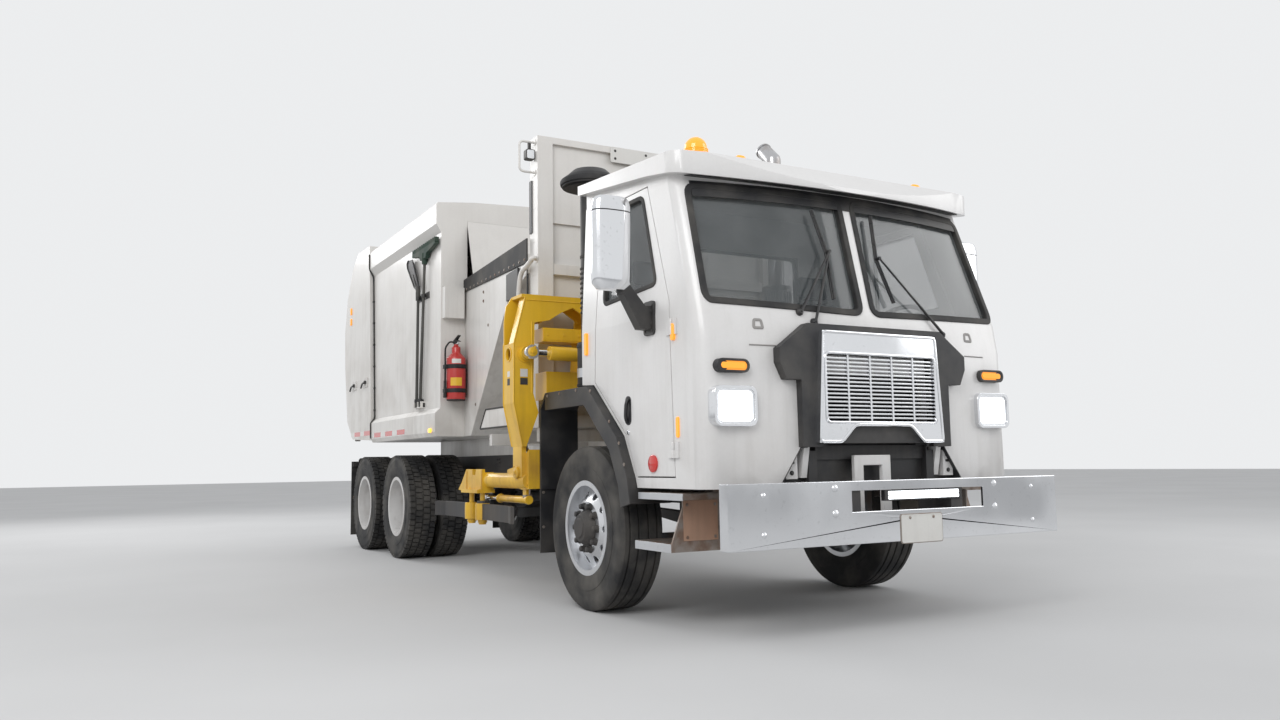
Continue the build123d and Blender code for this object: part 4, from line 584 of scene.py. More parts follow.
def cab_level(z):
    """Half width, front, front beside the corner and corner radius of the cab at a height."""
    for low, high in zip(CAB_LEVELS, CAB_LEVELS[1:]):
        if z <= high[0]:
            break
    t = (z - low[0]) / (high[0] - low[0])
    return [a + (b - a) * t for a, b in zip(low[1:], high[1:])]


def bowed(x, half, front, beside, radius):
    """The front of a bowed wall at a place across it."""
    chord, sag = half - radius, beside - front
    bow = (chord * chord + sag * sag) / (2 * sag)
    return front + bow - math.sqrt(max(bow * bow - x * x, 0))


def cab_front(x, z):
    return bowed(x, *cab_level(z))


def smooth_outline(points, radius, steps=5, run=90):
    """An outline with rounded corners and long runs divided, as (across, up) points."""
    result = []
    count = len(points)
    for index in range(count):
        before, corner, after, following = (Vector(points[(index + k) % count]) for k in (-1, 0, 1, 2))
        result += curve(before, corner, after, radius, steps, 2.1)
        leave = result[-1]
        next_reach = min(radius, (corner - after).length / 2.1, (following - after).length / 2.1)
        stop = after + (corner - after).normalized() * next_reach
        parts = int((stop - leave).length / run)
        result += [leave.lerp(stop, part / parts) for part in range(1, parts)]
    return result


def shifted(outline, distance):
    """An outline moved outward by a distance."""
    pairs = list(zip(outline, outline[1:] + outline[:1]))
    turn = 1 if sum(a.x * b.y - b.x * a.y for a, b in pairs) > 0 else -1
    result = []
    for index, (point, after) in enumerate(pairs):
        way = (after - outline[index - 1]).normalized()
        result.append(point + Vector((way.y, -way.x)) * distance * turn)
    return result


def band(points, radius, inward, outward, depth, proud, surface):
    """A strip along a rounded outline on a surface, from depth under it to proud of it."""
    outline = smooth_outline(points, radius)
    section = ((outward, -depth), (outward, proud * 0.5), (outward - 4, proud))
    section += ((4 - inward, proud), (-inward, proud * 0.5), (-inward, -depth))
    rows = [[surface(*point, lift) for point in shifted(outline, distance)] for distance, lift in section]
    skin(rows, loop=True)


def on_front(x, z, lift):
    return (x, cab_front(x, z) - lift, z)


PANE = ((48, 1800), (1085, 1822), (1098, 1860), (1062, 2520), (52, 2515))
DOOR_WINDOW = ((-900, 1975), (-245, 1945), (-262, 2535), (-712, 2535))
REAR_PANE = ((-620, 1800), (620, 1800), (620, 2450), (-620, 2450))
band(PANE, 55, 16, 22, 30, 9, on_front)
mirror()
band(REAR_PANE, 60, 14, 18, 30, 6, lambda x, z, lift: (x, 70 + lift, z))
piece("window_seals", "rubber_black", "cab")
for side_name, side in SIDES:
    band(DOOR_WINDOW, 45, 12, 16, 26, 6, lambda y, z, lift: (side * (cab_level(z)[0] + lift), y, z))
    piece(f"door_seal_{side_name}", "rubber_black", f"door_{side_name}")

# Wipers: a pivot under each pane, two thin arms on the kerb side, and a blade in its carrier

WIPERS = (
    (((-505, 1778), (-413, 1722)), (-239, 2161), (-286, 2425), (-252, 1868)),
    (((597, 1700),), (147, 2152), (177, 2439), (216, 1876)),
)
for feet, joint, top, bottom in WIPERS:
    for x, z in feet:
        turned([(0, 24), (14, 22), (26, 12)], on_front(x, z, -2), (0, -1, 0.1), 24)
        rod(on_front(x, z, 20), on_front(*joint, 52), 9, 10, 6)
    blade = [Vector(top).lerp(Vector(joint), t / 6) for t in range(7)]
    blade += [Vector(joint).lerp(Vector(bottom), t / 6) for t in range(1, 7)]
    for lift, radius in ((14, 8), (30, 5)):
        rods([on_front(*place, lift) for place in blade], radius, 8)
    for place in (blade[1], blade[4], blade[8], blade[11]):
        rod(on_front(*place, 12), on_front(*place, 34), 6, 8)
    rod(on_front(*joint, 26), on_front(*joint, 58), 11, 10)
piece("wipers", "plastic_black", "cab", smooth=50)

# Lamps on the cab

HEAD_X, HEAD_Z = 985, 1234
TURN_X, TURN_Z = 992, 1453
LAMPS = ("lamps",)
frame_ring((140, 110, 44), (122, 92, 32), (HEAD_X, HEAD_Z), -1436, -1362)
frame_ring((124, 94, 34), (112, 82, 26), (HEAD_X, HEAD_Z), -1430, -1400)
mirror()
piece("headlight_bezels", "chrome", "cab", edge=2, replaces=LAMPS)
plate((HEAD_X, -1425, HEAD_Z), (121, 91, 31), 40)
for index in range(-4, 5):
    x, z = HEAD_X + index * 25, HEAD_Z - 78
    prism([(x - 9, -1424, z), (x, -1428, z), (x + 9, -1424, z)], (0, 0, 156))
mirror()
piece("headlight_lenses", "headlight_glow", "cab", replaces=LAMPS)
frame_ring((106, 38, 36), (92, 25, 24), (TURN_X, TURN_Z), -1430, -1375)
plate((TURN_X + 66, -1427, TURN_Z), (30, 26, 22), 20)
mirror()
piece("turn_lamp_frames", "plastic_black", "cab", edge=2, replaces=LAMPS)
plate((TURN_X, -1424, TURN_Z), (92, 26, 25), 30)
plate((TURN_X, -1429, TURN_Z), (80, 17, 16), 8)
mirror()
piece("turn_lamp_lenses", "amber_lens", "cab", edge=2, replaces=LAMPS)

BEACON = (-880, -920, 2718)
turned([(0, 84), (14, 84), (20, 78), (44, 78)], BEACON, UP, 40)
piece("beacon_base", "plastic_black", "cab", edge=1, replaces=LAMPS)
angles = [math.pi / 2 * step / 8 for step in range(1, 8)]
dome = [(96 + 72 * math.sin(angle), 70 * math.cos(angle)) for angle in angles]
lathe([(40, 0), (40, 74), (96, 70)] + dome + [(168, 0)], BEACON, UP, 40)
for height in range(52, 96, 11):
    ring(BEACON, UP, 70, 76, height, height + 4, 40)
piece("beacon_dome", "amber_lens", "cab", replaces=LAMPS)

# Small markers: on the roof, the cab's sides and the doors

MARKERS = ((-6, 1715, 16, 74, 22), (-1105, 1664, 17, 48, 22), (-1130, 1130, 15, 58, 14))
for y, z, half_y, half_z, depth in MARKERS:
    side_plate((cab_level(z)[0] - 6, y, z), (half_y, half_z, half_y * 0.9), depth)
mirror()
for x, y in ((1085, -985), (700, -1125), (-700, -1125), (-1085, -985)):
    lathe([(-12, 0), (-12, 34), (16, 32), (28, 20), (30, 0)], (x, y, 2712), (0, -0.35, 1), 20)
piece("marker_lamps", "amber_lens", "cab", edge=2)
# The red reflectors glow faintly with the red lens: painted light, as they are no lamps
REFLECTOR = (cab_level(931)[0], -849, 931)
turned([(-3, 50), (9, 50), (12, 44)], REFLECTOR, STREET, 32)
mirror()
piece("side_reflectors", "red_lens", "cab")

# Mirrors: a chrome shell in two parts on a black arm, its glass facing the rear

MIRROR_X, MIRROR_Y = 1422, -842
MIRROR_LOW, MIRROR_HIGH = 1925, 2470
MIRROR_SEAM = 2382
MIRROR_ARM = ((1168, 1705), (1168, 1845), (1222, 1842), (1322, 1958), (1385, 1958), (1372, 1918))
MIRROR_ARM += ((1252, 1708),)
ROUND_END = 70


def mirror_ring(side, z, shrink, draw_in):
    """One level of the mirror's shell: bowed to the front, nearly flat to the rear."""
    half_width, depth = 122 * shrink, 62 * shrink
    row = []
    for step in range(40):
        angle = 2 * math.pi * step / 40
        ahead = math.sin(angle)
        across = math.copysign(abs(math.cos(angle)) ** 0.7, math.cos(angle)) * half_width
        along = -(max(ahead, 0) ** 0.85) * depth + (max(-ahead, 0) ** 0.35) * depth * 0.72
        row.append((side * (MIRROR_X - across * draw_in), MIRROR_Y + along * draw_in, z))
    return row


def mirror_shell(side, low, high, round_low=False, round_high=False, draw_in=1):
    """The shell between two heights, its ends drawn in where they are round."""
    rows = []
    for step in range(15):
        t = step / 14
        shrink = 1.0
        for is_round, reach in ((round_low, t * (high - low)), (round_high, (1 - t) * (high - low))):
            if is_round and reach < ROUND_END:
                shrink = min(shrink, 0.72 + 0.28 * math.sqrt(1 - (1 - reach / ROUND_END) ** 2))
        rows.append(mirror_ring(side, low + (high - low) * t, shrink, draw_in))
    skin(rows)


for side_name, side in SIDES:
    body = f"door_{side_name}"
    node = f"mirror_{side_name}"
    mirror_shell(side, MIRROR_LOW, MIRROR_SEAM - 3, round_low=True)
    mirror_shell(side, MIRROR_SEAM + 3, MIRROR_HIGH, round_high=True)
    piece(f"mirror_shell_{side_name}", "chrome", body, edge=2.5, smooth=50, replaces=(node,))
    mirror_shell(side, MIRROR_SEAM - 12, MIRROR_SEAM + 12, draw_in=0.96)
    prism([(side * x, -880, z) for x, z in MIRROR_ARM], (0, 76, 0))
    bolts([(side * 1182, -880, z) for z in (1738, 1812)], FRONT, 10, 8)
    foot = cab_level(1775)[0]
    side_plate((foot - 4, MIRROR_Y, 1775), (62, 100, 26), 16, side)
    feet = [(side * (foot + 12), MIRROR_Y + a, 1775 + b) for b in (-74, 74) for a in (-42, 42)]
    bolts(feet, (side, 0, 0), 7, 5)
    rod((side * 1352, MIRROR_Y, 1905), (side * 1352, MIRROR_Y, 1940), 34, 24)
    piece(f"mirror_arm_{side_name}", "plastic_black", body, edge=7, replaces=(node,))
    plate((side * MIRROR_X, -800, 2165.5), (100, 200.5, 30), 4)
    plate((side * MIRROR_X, -800, 2421), (100, 25, 15), 4)
    piece(f"mirror_glass_{side_name}", "mirror_face", body, replaces=(node,))

# Doors: handle in its black recess and lock

HANDLE_Y, HANDLE_LOW, HANDLE_HIGH = -558, 1164, 1339
GRIP = ((3, 12, 16 - 87.5), (17, 6, 44 - 87.5), (19, 0, 0), (17, -4, 87.5 - 44), (3, -8, 87.5 - 16))
for side_name, side in SIDES:
    body = f"door_{side_name}"
    middle = (HANDLE_LOW + HANDLE_HIGH) / 2
    half_height = (HANDLE_HIGH - HANDLE_LOW) / 2
    face = cab_level(middle)[0]
    outer, inner = rounded(36, half_height, 32), rounded(29, half_height - 7, 26)
    rows = ((outer, -3), (outer, 3), (inner, 4), (inner, -2))
    rows = [[(side * (face + lift), HANDLE_Y + a, middle + b) for a, b in line] for line, lift in rows]
    skin(rows, loop=True)
    side_plate((face + 0.6, HANDLE_Y, middle), (29, half_height - 7, 26), 0.8, side)
    pipe([(side * (face + x), HANDLE_Y + y, middle + z) for x, y, z in GRIP], 11, 14, 30)
    piece(f"door_handle_{side_name}", "plastic_black", body, edge=1, smooth=50)
    lock = [(-2, 0), (-2, 15), (3, 15), (5, 12), (5, 0)]
    lathe(lock, (side * face, HANDLE_Y + 2, HANDLE_LOW - 44), (side, 0, 0), 28)
    piece(f"door_lock_{side_name}", "chrome", body, edge=0.8)

# Front of the cab: black lining of the recess, the visor's underside, a black band under it that is
# painted shadow of the visor over the glass's top, moulded tabs and the cowl's seam

block(503, 555, -1424, -1354, 1007, 1010)
prism(on_y(-1424, ((553, 1010), (714, 776), (708, 776), (549, 1006))), (0, 70, 0))
mirror()
prism(on_y(-1352.4, ((-706, 792), (-556, 1008), (556, 1008), (706, 792))), (0, -3, 0))
piece("recess_lining", "plastic_black", "cab")

rows = []
for step in range(29):
    x = -1064 + 2128 * step / 28
    near = bowed(x, *VISOR) + 26
    far = max(cab_front(x, 2560) + 12, near + 20)
    corners = ((near, 0.5), (near, 5), (far, 5), (far, 0.5))
    rows.append([(x, y, 2545 + (y - VISOR[1]) / 6 - drop) for y, drop in corners])
skin(rows)
piece("visor_underside", "plastic_black", "cab")

# A black band over the windscreen's top under the visor: painted shadow of the visor on the glass
corners = ((2554, 1), (2554, 5), (2456, 5), (2456, 1))
skin([[on_front(-1044 + 2088 * step / 32, z, lift) for z, lift in corners] for step in range(33)])
piece("painted_shadow_band", "plastic_black", "cab")

for x in (-797, 834):
    tab = ((x - 34, 1668), (x + 34, 1668), (x + 26, 1722), (x - 26, 1722))
    band(tab, 14, 12, 4, 4, 5, on_front)
for index in range(2, 23):
    x = -1040 + 2080 * index / 24
    if abs(x) >= 735:
        rod(on_front(x, 1574, 0.5), on_front(x + 86, 1574, 0.5), 4, 8)
piece("cowl_seams", "seam_grey", "cab", smooth=50)

# Grille: a bright lip round its opening and round the black surround, seen over the bars

def on_grille(x, z, lift):
    return (x, -1500 - lift, z)


band(((-415, 1152), (415, 1152), (415, 1535), (-415, 1535)), 26, 3, 13, 4, 7, on_grille)
RIM = [(-476, 1033), (-435, 1665), (435, 1665), (476, 1033)]
RIM += [(310, 1033), (210, 1130), (-210, 1130), (-310, 1033)]
band(RIM, 30, 15, 2, 6, 6, on_grille)
piece("grille_lips", "chrome", "cab", smooth=50)

# Radiator seen through the grille, on the front cross member

RADIATOR_FRAME = ((-430, 430, 1016, 1052), (-430, 430, 1372, 1404), (404, 430, 1050, 1374))
for x0, x1, z0, z1 in (*RADIATOR_FRAME, (-430, -404, 1050, 1374)):
    block(x0, x1, -1340, -1300, z0, z1)
for index in range(57):
    x = -399 + index * 14.25
    block(x - 1.2, x + 1.2, -1334, -1304, 1048, 1376)
for index in range(12):
    z = 1076 + index * 26
    block(-404, 404, -1330, -1326, z - 2, z + 2)
block(-404, 404, -1310, -1306, 1048, 1376)
piece("radiator_core", "frame_black")

# White frame under the grille, on the front cross member, and the holes in the cab's brackets

U_OUTLINE = ((-172, 640), (-172, 963), (104, 963), (104, 640), (36, 640), (36, 904), (-104, 904), (-104, 640))
prism(on_y(-1432, U_OUTLINE), (0, 29, 0))
piece("front_frame", "cab_white", edge=5)
# The brackets' holes are black plates on their faces: painted shade inside the holes
for x in (-600, 600):
    for z in (958, 925):
        plate((x, -1401.5, z), (20, 8, 7), 4)
    bolt((x, -1400, 868), FRONT, 10, 8)
piece("bracket_slots", "plastic_black", "cab")

# Bumper: light bar in its slot, blank plate on its holder, and coach bolts

block(-172, 414, -1670, -1638, 709, 768)
for x in (-110, 330):
    block(x, x + 24, -1662, -1650, 752, 800)
piece("light_bar", "plastic_black", edge=2)
for z in (727, 751):
    for index in range(12):
        plate((-126 + index * 45, -1674, z), (21.5, 10, 4), 8)
piece("light_bar_lenses", "headlight_glow", edge=1)

PLATE_X, PLATE_Z = 86.5, 552
plate((PLATE_X, -1680, PLATE_Z), (154, 77, 12), 1.6)
frame_ring((154, 77, 12), (149, 72, 8), (PLATE_X, PLATE_Z), -1681.4, -1679.4)
piece("plate_blank", "plate_white", edge=0.4)
plate((PLATE_X, -1678.2, PLATE_Z), (160, 82, 14), 3.4)
for x in (PLATE_X - 89, PLATE_X + 89):
    turned([(0, 9), (3, 8), (5, 4)], (x, -1680, 612), FRONT, 18)
piece("plate_holder", "bare_steel", edge=0.6)

COACH_BOLTS = (
    ((-530, 680), (786, 652), [(-2, 0), (-2, 20), (2, 20), (8, 15), (12, 7), (13, 0)], 28),
    ((-1000, 1000), (560, 760), [(-2, 0), (-2, 15), (1, 15), (6, 11), (9, 5), (10, 0)], 24),
)
for xs, zs, head, sides in COACH_BOLTS:
    for x in xs:
        for z in zs:
            lathe(head, (x, -1675, z), FRONT, sides)
piece("bumper_bolts", "chrome")

# Lift arm: pin caps with keepers, weld beads, blank labels, pipes up the leg, gripper hubs and nuts

PIVOT_X, PIVOT_Z = -720, 2060
LEG_X, ARM_FRONT_Y, ARM_MIDDLE_Y = -1400, 700, 800
HUB_X = -1325
HUB_YS = {"front": 1530, "rear": 1770}


def pin_cap(place, axis, radius=40, thick=12):
    """A round pin head with a chamfer and a bolted keeper across it."""
    axis = Vector(axis)
    profile = [(-3, 0), (-3, radius), (thick - 3, radius), (thick, radius - 4), (thick, 0)]
    lathe(profile, place, axis, 36)
    top = Vector(place) + axis * thick
    bolt(top, axis, radius * 0.32, 9)
    reach = radius * 0.72
    for turn in (0.6, 2.2):
        shift = axis.orthogonal() * reach * math.cos(turn) + Vector((0, 0, reach * math.sin(turn)))
        bolt(top + shift, axis, 5, 5)


front_pivot = (PIVOT_X, 666, PIVOT_Z)
rear_pivot = (PIVOT_X, 934, PIVOT_Z)
turned([(-3, 46), (4, 46), (6, 43)], front_pivot, FRONT, 40)
lathe([(-2, 62), (-2, 92), (3, 92), (5, 89), (5, 62)], front_pivot, FRONT, 40)
pin_cap(rear_pivot, BACK, 46)
lathe([(-2, 60), (-2, 92), (5, 92), (8, 88), (8, 60)], rear_pivot, BACK, 40)
pin_cap((-690, 576, 1715), FRONT, 32)
for x in (-842, -640):
    rod((x, 691, 1600), (x, 691, 1915), 6, 8)
block(-1160, -846, 716, 724, 1830, 1910)
bolts([(x, 720, 1870) for x in (-1130, -1000, -880)], FRONT, 10, 8)
piece("carriage_pins", "arm_yellow", "carriage", edge=1)

pin_cap((-1310, 572, 1722), FRONT, 34)
ring((-1310, ARM_FRONT_Y, 1722), FRONT, 50, 64, -1, 7, 36)
pin_cap((-1340, ARM_MIDDLE_Y, 880), KERB, 42)
ARM_RUN = ((-1312, 2132), (LEG_X, 1795), (LEG_X, 1370), (-1335, 1064))
for y in (ARM_FRONT_Y, 900):
    rods(on_y(y, ARM_RUN), 5, 8)
for x0, z0, x1, z1 in ((-1300, 2112, -700, 2112), (-1262, 1955, -1262, 1442)):
    rod((x0, ARM_FRONT_Y - 0.5, z0), (x1, ARM_FRONT_Y - 0.5, z1), 4.5, 8)
prism(on_y(697, ((-1392, 1795), (-1254, 1795), (-1256, 1770), (-1392, 1770))), (0, 5, 0))
ring((LEG_X, ARM_MIDDLE_Y, 1722), KERB, 44, 54, -1, 5, 36)
piece("arm_trim", "arm_yellow", "lift_arm", smooth=50)

LABELS = (
    ("arm_labels", "plate_white", (1556, 1612), (1560, 1600)),
    ("arm_labels_dark", "plastic_black", (1500, 1548), (1500, 1548)),
)
for name, material_name, on_cheek, on_leg in LABELS:
    block(-1352, -1296, 697.6, 699.4, *on_cheek)
    block(-1401.4, -1399.6, 776, 822, *on_leg)
    piece(name, material_name, "lift_arm", edge=0.4)

ARM_PIPE = ((-1222, 1936), (-1236, 1900), (-1238, 1446), (-1194, 1312), (-1286, 1070), (-1252, 1020))
for y in (764, 790):
    pipe(on_y(y, ARM_PIPE) + [(-1252, y + 6, 712)], 8, 12, 36)
for z in (1840, 1660, 1490):
    block(-1254, -1228, 750, 804, z, z + 22)
    bolt((-1228, 777, z + 11), (1, 0, 0), 6, 6)
block(-1262, -1242, 750, 810, 960, 982)
block(-1292, -1240, 752, 806, 700, 722)
piece("arm_pipes", "bare_steel", "lift_arm", edge=0.8, smooth=50)

for y in HUB_YS.values():
    nut = [(-2, 0), (-2, 34), (6, 34), (6, 24), (26, 23), (30, 18), (30, 0)]
    lathe(nut, (HUB_X, y, 748), UP, 24)
    turned([(0, 30), (14, 28)], (HUB_X, y, 496), (0, 0, -1), 24)
bolts([(-1300, y, 800) for y in (690, 712, 1060)], KERB, 9, 8)
turned([(0, 32), (8, 34), (26, 34), (30, 30)], (-1268, 1308, 686), FRONT, 30)
turned([(0, 30), (12, 32), (30, 32)], (-1268, 742, 686), BACK, 30)
for y in (1496, 1836):
    block(-1352, -1348, y - 4, y + 4, 748, 896)
block(-1348, -1326, 1700, 1706, 862, 900)
piece("gripper_trim", "arm_yellow", "lift_arm", edge=1)
for name, y in HUB_YS.items():
    sleeve = [(-4, 46.5), (-4, 54), (30, 56), (90, 56), (124, 54), (124, 46.5)]
    lathe(sleeve, (HUB_X, y, 520), UP, 36)
    piece(f"finger_hub_{name}", "arm_yellow", f"finger_{name}", edge=2)

# Hopper shield: guard loop with its lamp, blank sign, dark strip, bent pipe and bolts

SHIELD_X, LOOP_Y = -1104, 1004
pipe(on_y(LOOP_Y, ((-1098, 3386), (-1231, 3386), (-1231, 3150), (-1098, 3150))), 9, 12, 40)
for z in (3386, 3150):
    ring((SHIELD_X, LOOP_Y, z), KERB, 9, 24, 0, 5, 20)
bend = on_x(-1150, ((940, 2478), (1000, 2450), (1185, 2400), (1222, 2230), (1222, 2080)))
pipe([(-1098, 975, 2478), *bend, (-1106, 1222, 2050)], 19, 16, 70)
ring((SHIELD_X, 975, 2478), KERB, 19, 34, 0, 6, 24)
for z in range(1340, 3380, 255):
    rod((SHIELD_X, 1003, z), (SHIELD_X, 1047, z), 2.5, 6)
piece("shield_trim", "body_white", smooth=50)
plate((0, 943, 3369), (480, 63, 12), 6)
piece("shield_sign", "plate_white", edge=1)
plate((-1146, 985, 3285), (36, 40, 14), 52)
block(-1158, -1136, 1000, 1020, 3325, 3390)
block(-1112, -1102, 1050, 1098, 2690, 3100)
bolts([(x, 943, z) for x in (-440, -160, 160, 440) for z in (3400, 3338)], FRONT, 8, 5)
piece("shield_black", "plastic_black", edge=2)
plate((-1146, 981, 3285), (29, 33, 11), 6)
piece("shield_lamp", "lamp_clear", edge=1)

# Hopper: bolts in its side sheets, a row along the rubber, and the black block at its front edge

HOPPER_OUT = (1, 0.09, 0)


def hopper_side(y):
    """Half width of the hopper's outer face at a length."""
    return 1122 - 183 * (y - 1100) / 1970


for y, z in ((2390, 2455), (2390, 2374), (2235, 2140), (2650, 1478)):
    bolt((hopper_side(y), y, z), HOPPER_OUT, 11, 7)
for index in range(14):
    y = 1150 + index * 138
    bolt((hopper_side(y) + 12, y, 2500 + index * 5.6), HOPPER_OUT, 9, 6)
mirror()
piece("hopper_bolts", "bare_steel")
outline = ((hopper_side(1310) - 2, 1310), (1124, 1310), (1092, 1630), (hopper_side(1630) - 2, 1630))
prism([(x, y, 2250) for x, y in outline], (0, 0, 218))
for y in (1110, 1290):
    block(1112, 1126, y, y + 12, 2180, 2440)
mirror()
piece("hopper_blocks", "plastic_black", edge=3)

# Tanks: rubber edging, filler caps and straps

TANK_EDGE = ((1302, 1398), (1988, 1398), (2126, 1234), (1302, 1234))
band(TANK_EDGE, 16, 11, 3, 4, 6, lambda y, z, lift: (-1130 - lift, y, z))
for z in (1262, 1300, 1338):
    turned([(0, 7), (4, 6)], (-1134, 1350, z), KERB, 12)
piece("tank_edging", "rubber_black")
for cap, place in (((52, 54, 48), (-900, 1400, 1398)), ((48, 52, 46), (980, 1420, 1078))):
    turned([(0, cap[0]), (16, cap[1]), (34, cap[1]), (38, cap[2])], place, UP, 32)
for y in (1450, 2150):
    frame_ring((319, 234, 114), (315, 230, 110), (805, 850), y - 26, y + 26)
piece("tank_fittings", "bare_steel", edge=1)

# Body: reflective dashes, lamps, seam seal with clips, latch with its handles, ribs

RED_RUN, WHITE_RUN = 279, 178
# The red dashes take the red lens, whose faint glow on them is painted light
TAPES = (("red", "red_lens", "red_paint", 0, RED_RUN), ("white", "plate_white", None, RED_RUN, WHITE_RUN))
TAPE_PLACES = {"chassis": (4060, 3, 1220, 1256), "tailgate": (5440, 2, 1218, 1290)}
for body, (y0, count, x, z) in TAPE_PLACES.items():
    for first, (name, material_name, slot, ahead, run) in enumerate(TAPES):
        for index in range(count):
            y = y0 + index * (RED_RUN + WHITE_RUN) + ahead
            block(x - 1, x + 1.2, y, y + run, z, z + 50)
        mirror()
        if body == "chassis":
            for index in range(first, 8, 2):
                block(-592 + index * 148, -448 + index * 148, 6404, 6406.5, 492, 548)
        piece(f"tape_{name}_{body}", material_name, body, slot)

side_plate((1218, 3200, 1262), (30, 20, 16), 20)
mirror()
piece("body_lamps", "amber_lit", edge=3)
for z in (2700, 2830):
    side_plate((1216, 6420, z), (20, 42, 16), 16)
mirror()
piece("tailgate_lamps", "amber_lens", "tailgate", edge=3)

SEAM_LOW, SEAM_HIGH = (5395, 1205), (5570, 3440)


def seam_y(z):
    """The seam between body and tailgate at a height, 12 mm ahead of it."""
    share = (z - SEAM_LOW[1]) / (SEAM_HIGH[1] - SEAM_LOW[1])
    return SEAM_LOW[0] + (SEAM_HIGH[0] - SEAM_LOW[0]) * share - 12


for z in range(1560, 3060, 250):
    block(1168, 1188, seam_y(z) - 15, seam_y(z) + 15, z, z + 20)
mirror()
SEAL_PATH = ((1226, 1250), (1226, 1424), (1178, 1478), (1178, 3110), (1226, 3196), (1226, 3376))
for side in (-1, 1):
    pipe([(side * x, seam_y(z), z) for x, z in SEAL_PATH], 8, 12, 24)
piece("seam_seal", "rubber_black", edge=1, smooth=50)

LATCH_YS, LATCH_Z = (5640, 6180), 1900
for y in LATCH_YS:
    side_plate((1217, y, LATCH_Z), (70, 54, 10), 9)
    bolts([(1226, y + a, LATCH_Z + b) for b in (-38, 38) for a in (-52, 52)], STREET, 6, 4)
mirror()
piece("latch_plates", "body_white", "tailgate", edge=1.5)
LEVER_PATH = ((1244, -8, 0), (1246, 90, -10), (1240, 168, -54))
for y in LATCH_YS:
    for side in (-1, 1):
        rod((side * 1224, y, LATCH_Z), (side * 1248, y, LATCH_Z), 20, 20)
        pipe([(side * x, y + a, LATCH_Z + b) for x, a, b in LEVER_PATH], 10, 12, 40)
piece("latch_handles", "plastic_black", "tailgate", edge=1, smooth=50)

TAIL_PATH = ((6130, 3493), (6400, 3330), (6640, 2990), (6750, 2600), (6720, 2150), (6560, 1480))
tail = [Vector(point) for point in (*TAIL_PATH, (6280, 1266))]
RIB = ((-38, -4), (-30, 34), (30, 34), (38, -4))
for x in (-1150, -420, 420, 1150):
    rows = []
    for index, spot in enumerate(tail):
        way = (tail[min(index + 1, len(tail) - 1)] - tail[max(index - 1, 0)]).normalized()
        out = Vector((-way.y, way.x))
        if out.x < 0:
            out = -out
        rows.append([(x + a, *(spot + out * lift)) for a, lift in RIB])
    skin(rows)
for y, z in TAIL_PATH[2:5]:
    block(-1112, 1112, y - 4, y + 26, z - 30, z + 30)
piece("tailgate_ribs", "body_white", "tailgate", edge=4)

# Rear lamps on the flap hanger, in three round lenses a side

TAIL_LAMP_Z = 970
plate((880, 6374, TAIL_LAMP_Z), (235, 70, 30), 16)
for x in (740, 880, 1020):
    rim = [(0, 0), (0, 62), (10, 62), (10, 54), (12, 54), (12, 0)]
    lathe(rim, (x, 6388, TAIL_LAMP_Z), BACK, 32)
mirror()
piece("tail_lamp_bases", "plastic_black", edge=1.5)
for name, xs in (("red", (740, 1020)), ("amber", (880,))):
    for x in xs:
        lathe([(8, 0), (8, 53), (16, 52), (21, 40), (23, 0)], (x, 6390, TAIL_LAMP_Z), BACK, 32)
    mirror()
    piece(f"tail_lenses_{name}", f"{name}_lens")

# Frame: rows of bolts in the rails' webs and U-bolts over the front springs

for y in (-1330, 1350, 2500, 3500, 5100, 6000):
    bolts([(430, y + shift, z) for z in (955, 990) for shift in (-28, 28)], STREET, 9, 8)
bolts([(430, y, 800) for y in range(-560, 6200, 420)], STREET, 9, 8)
for y in (-62, 62):
    for x in (350, 420):
        rod((x, y, 448), (x, y, 610), 10, 12)
    rod((345, y, 606), (425, y, 606), 11, 12)
mirror()
piece("frame_bolts", "frame_black")

# Fire extinguisher: straps, valve with its lever and gauge, hose held by both straps, curved labels

EXT_X, EXT_Y = -1058, 2960
EXT_R = 88
HOSE_X = EXT_X - 104


def curved_patch(start, end, z0, z1):
    """A thin label bent round the extinguisher between two angles and two heights."""
    section = ((EXT_R - 1, z0), (EXT_R + 0.8, z0), (EXT_R + 0.8, z1), (EXT_R - 1, z1))
    rows = []
    for step in range(13):
        a = math.radians(start + (end - start) * step / 12)
        rows.append([(EXT_X + reach * math.cos(a), EXT_Y + reach * math.sin(a), z) for reach, z in section])
    skin(rows)


for z in (1600, 1822):
    ring((EXT_X, EXT_Y, z), UP, EXT_R - 2, EXT_R + 4, 0, 38, 48)
    block(EXT_X - 26, EXT_X + 26, EXT_Y - EXT_R - 22, EXT_Y - EXT_R + 6, z + 6, z + 32)
for z0, z1 in ((1822, 1858), (1602, 1636)):
    block(EXT_X - 118, EXT_X - 84, EXT_Y - 26, EXT_Y + 26, z0, z1)
block(EXT_X - 60, EXT_X + 60, 3058, 3068, 1550, 1900)
rod((EXT_X, EXT_Y, 1528), (EXT_X, EXT_Y, 1542), 84, 40)
turned([(0, 27), (34, 27), (40, 20)], (EXT_X, EXT_Y, 2052), UP, 24)
CARRIER = ((-10, 2086), (-96, 2064), (-96, 2070), (-10, 2094))
LEVER = ((24, 2096), (-88, 2128), (-90, 2120), (10, 2082))
for outline in (CARRIER, LEVER):
    prism([(EXT_X - 14, EXT_Y + a, z) for a, z in outline], (28, 0, 0))
hose = ((EXT_X - 20, 2070), (EXT_X - 62, 2072), (HOSE_X, 2018), (HOSE_X, 1700))
pipe(on_y(EXT_Y, hose), 8, 14, 62)
nozzle = [(0, 0), (0, 13), (30, 13), (150, 17), (158, 14), (158, 0)]
lathe(nozzle, (HOSE_X, EXT_Y, 1712), (0, 0, -1), 20)
piece("extinguisher_fittings", "rubber_black", edge=1, smooth=45)
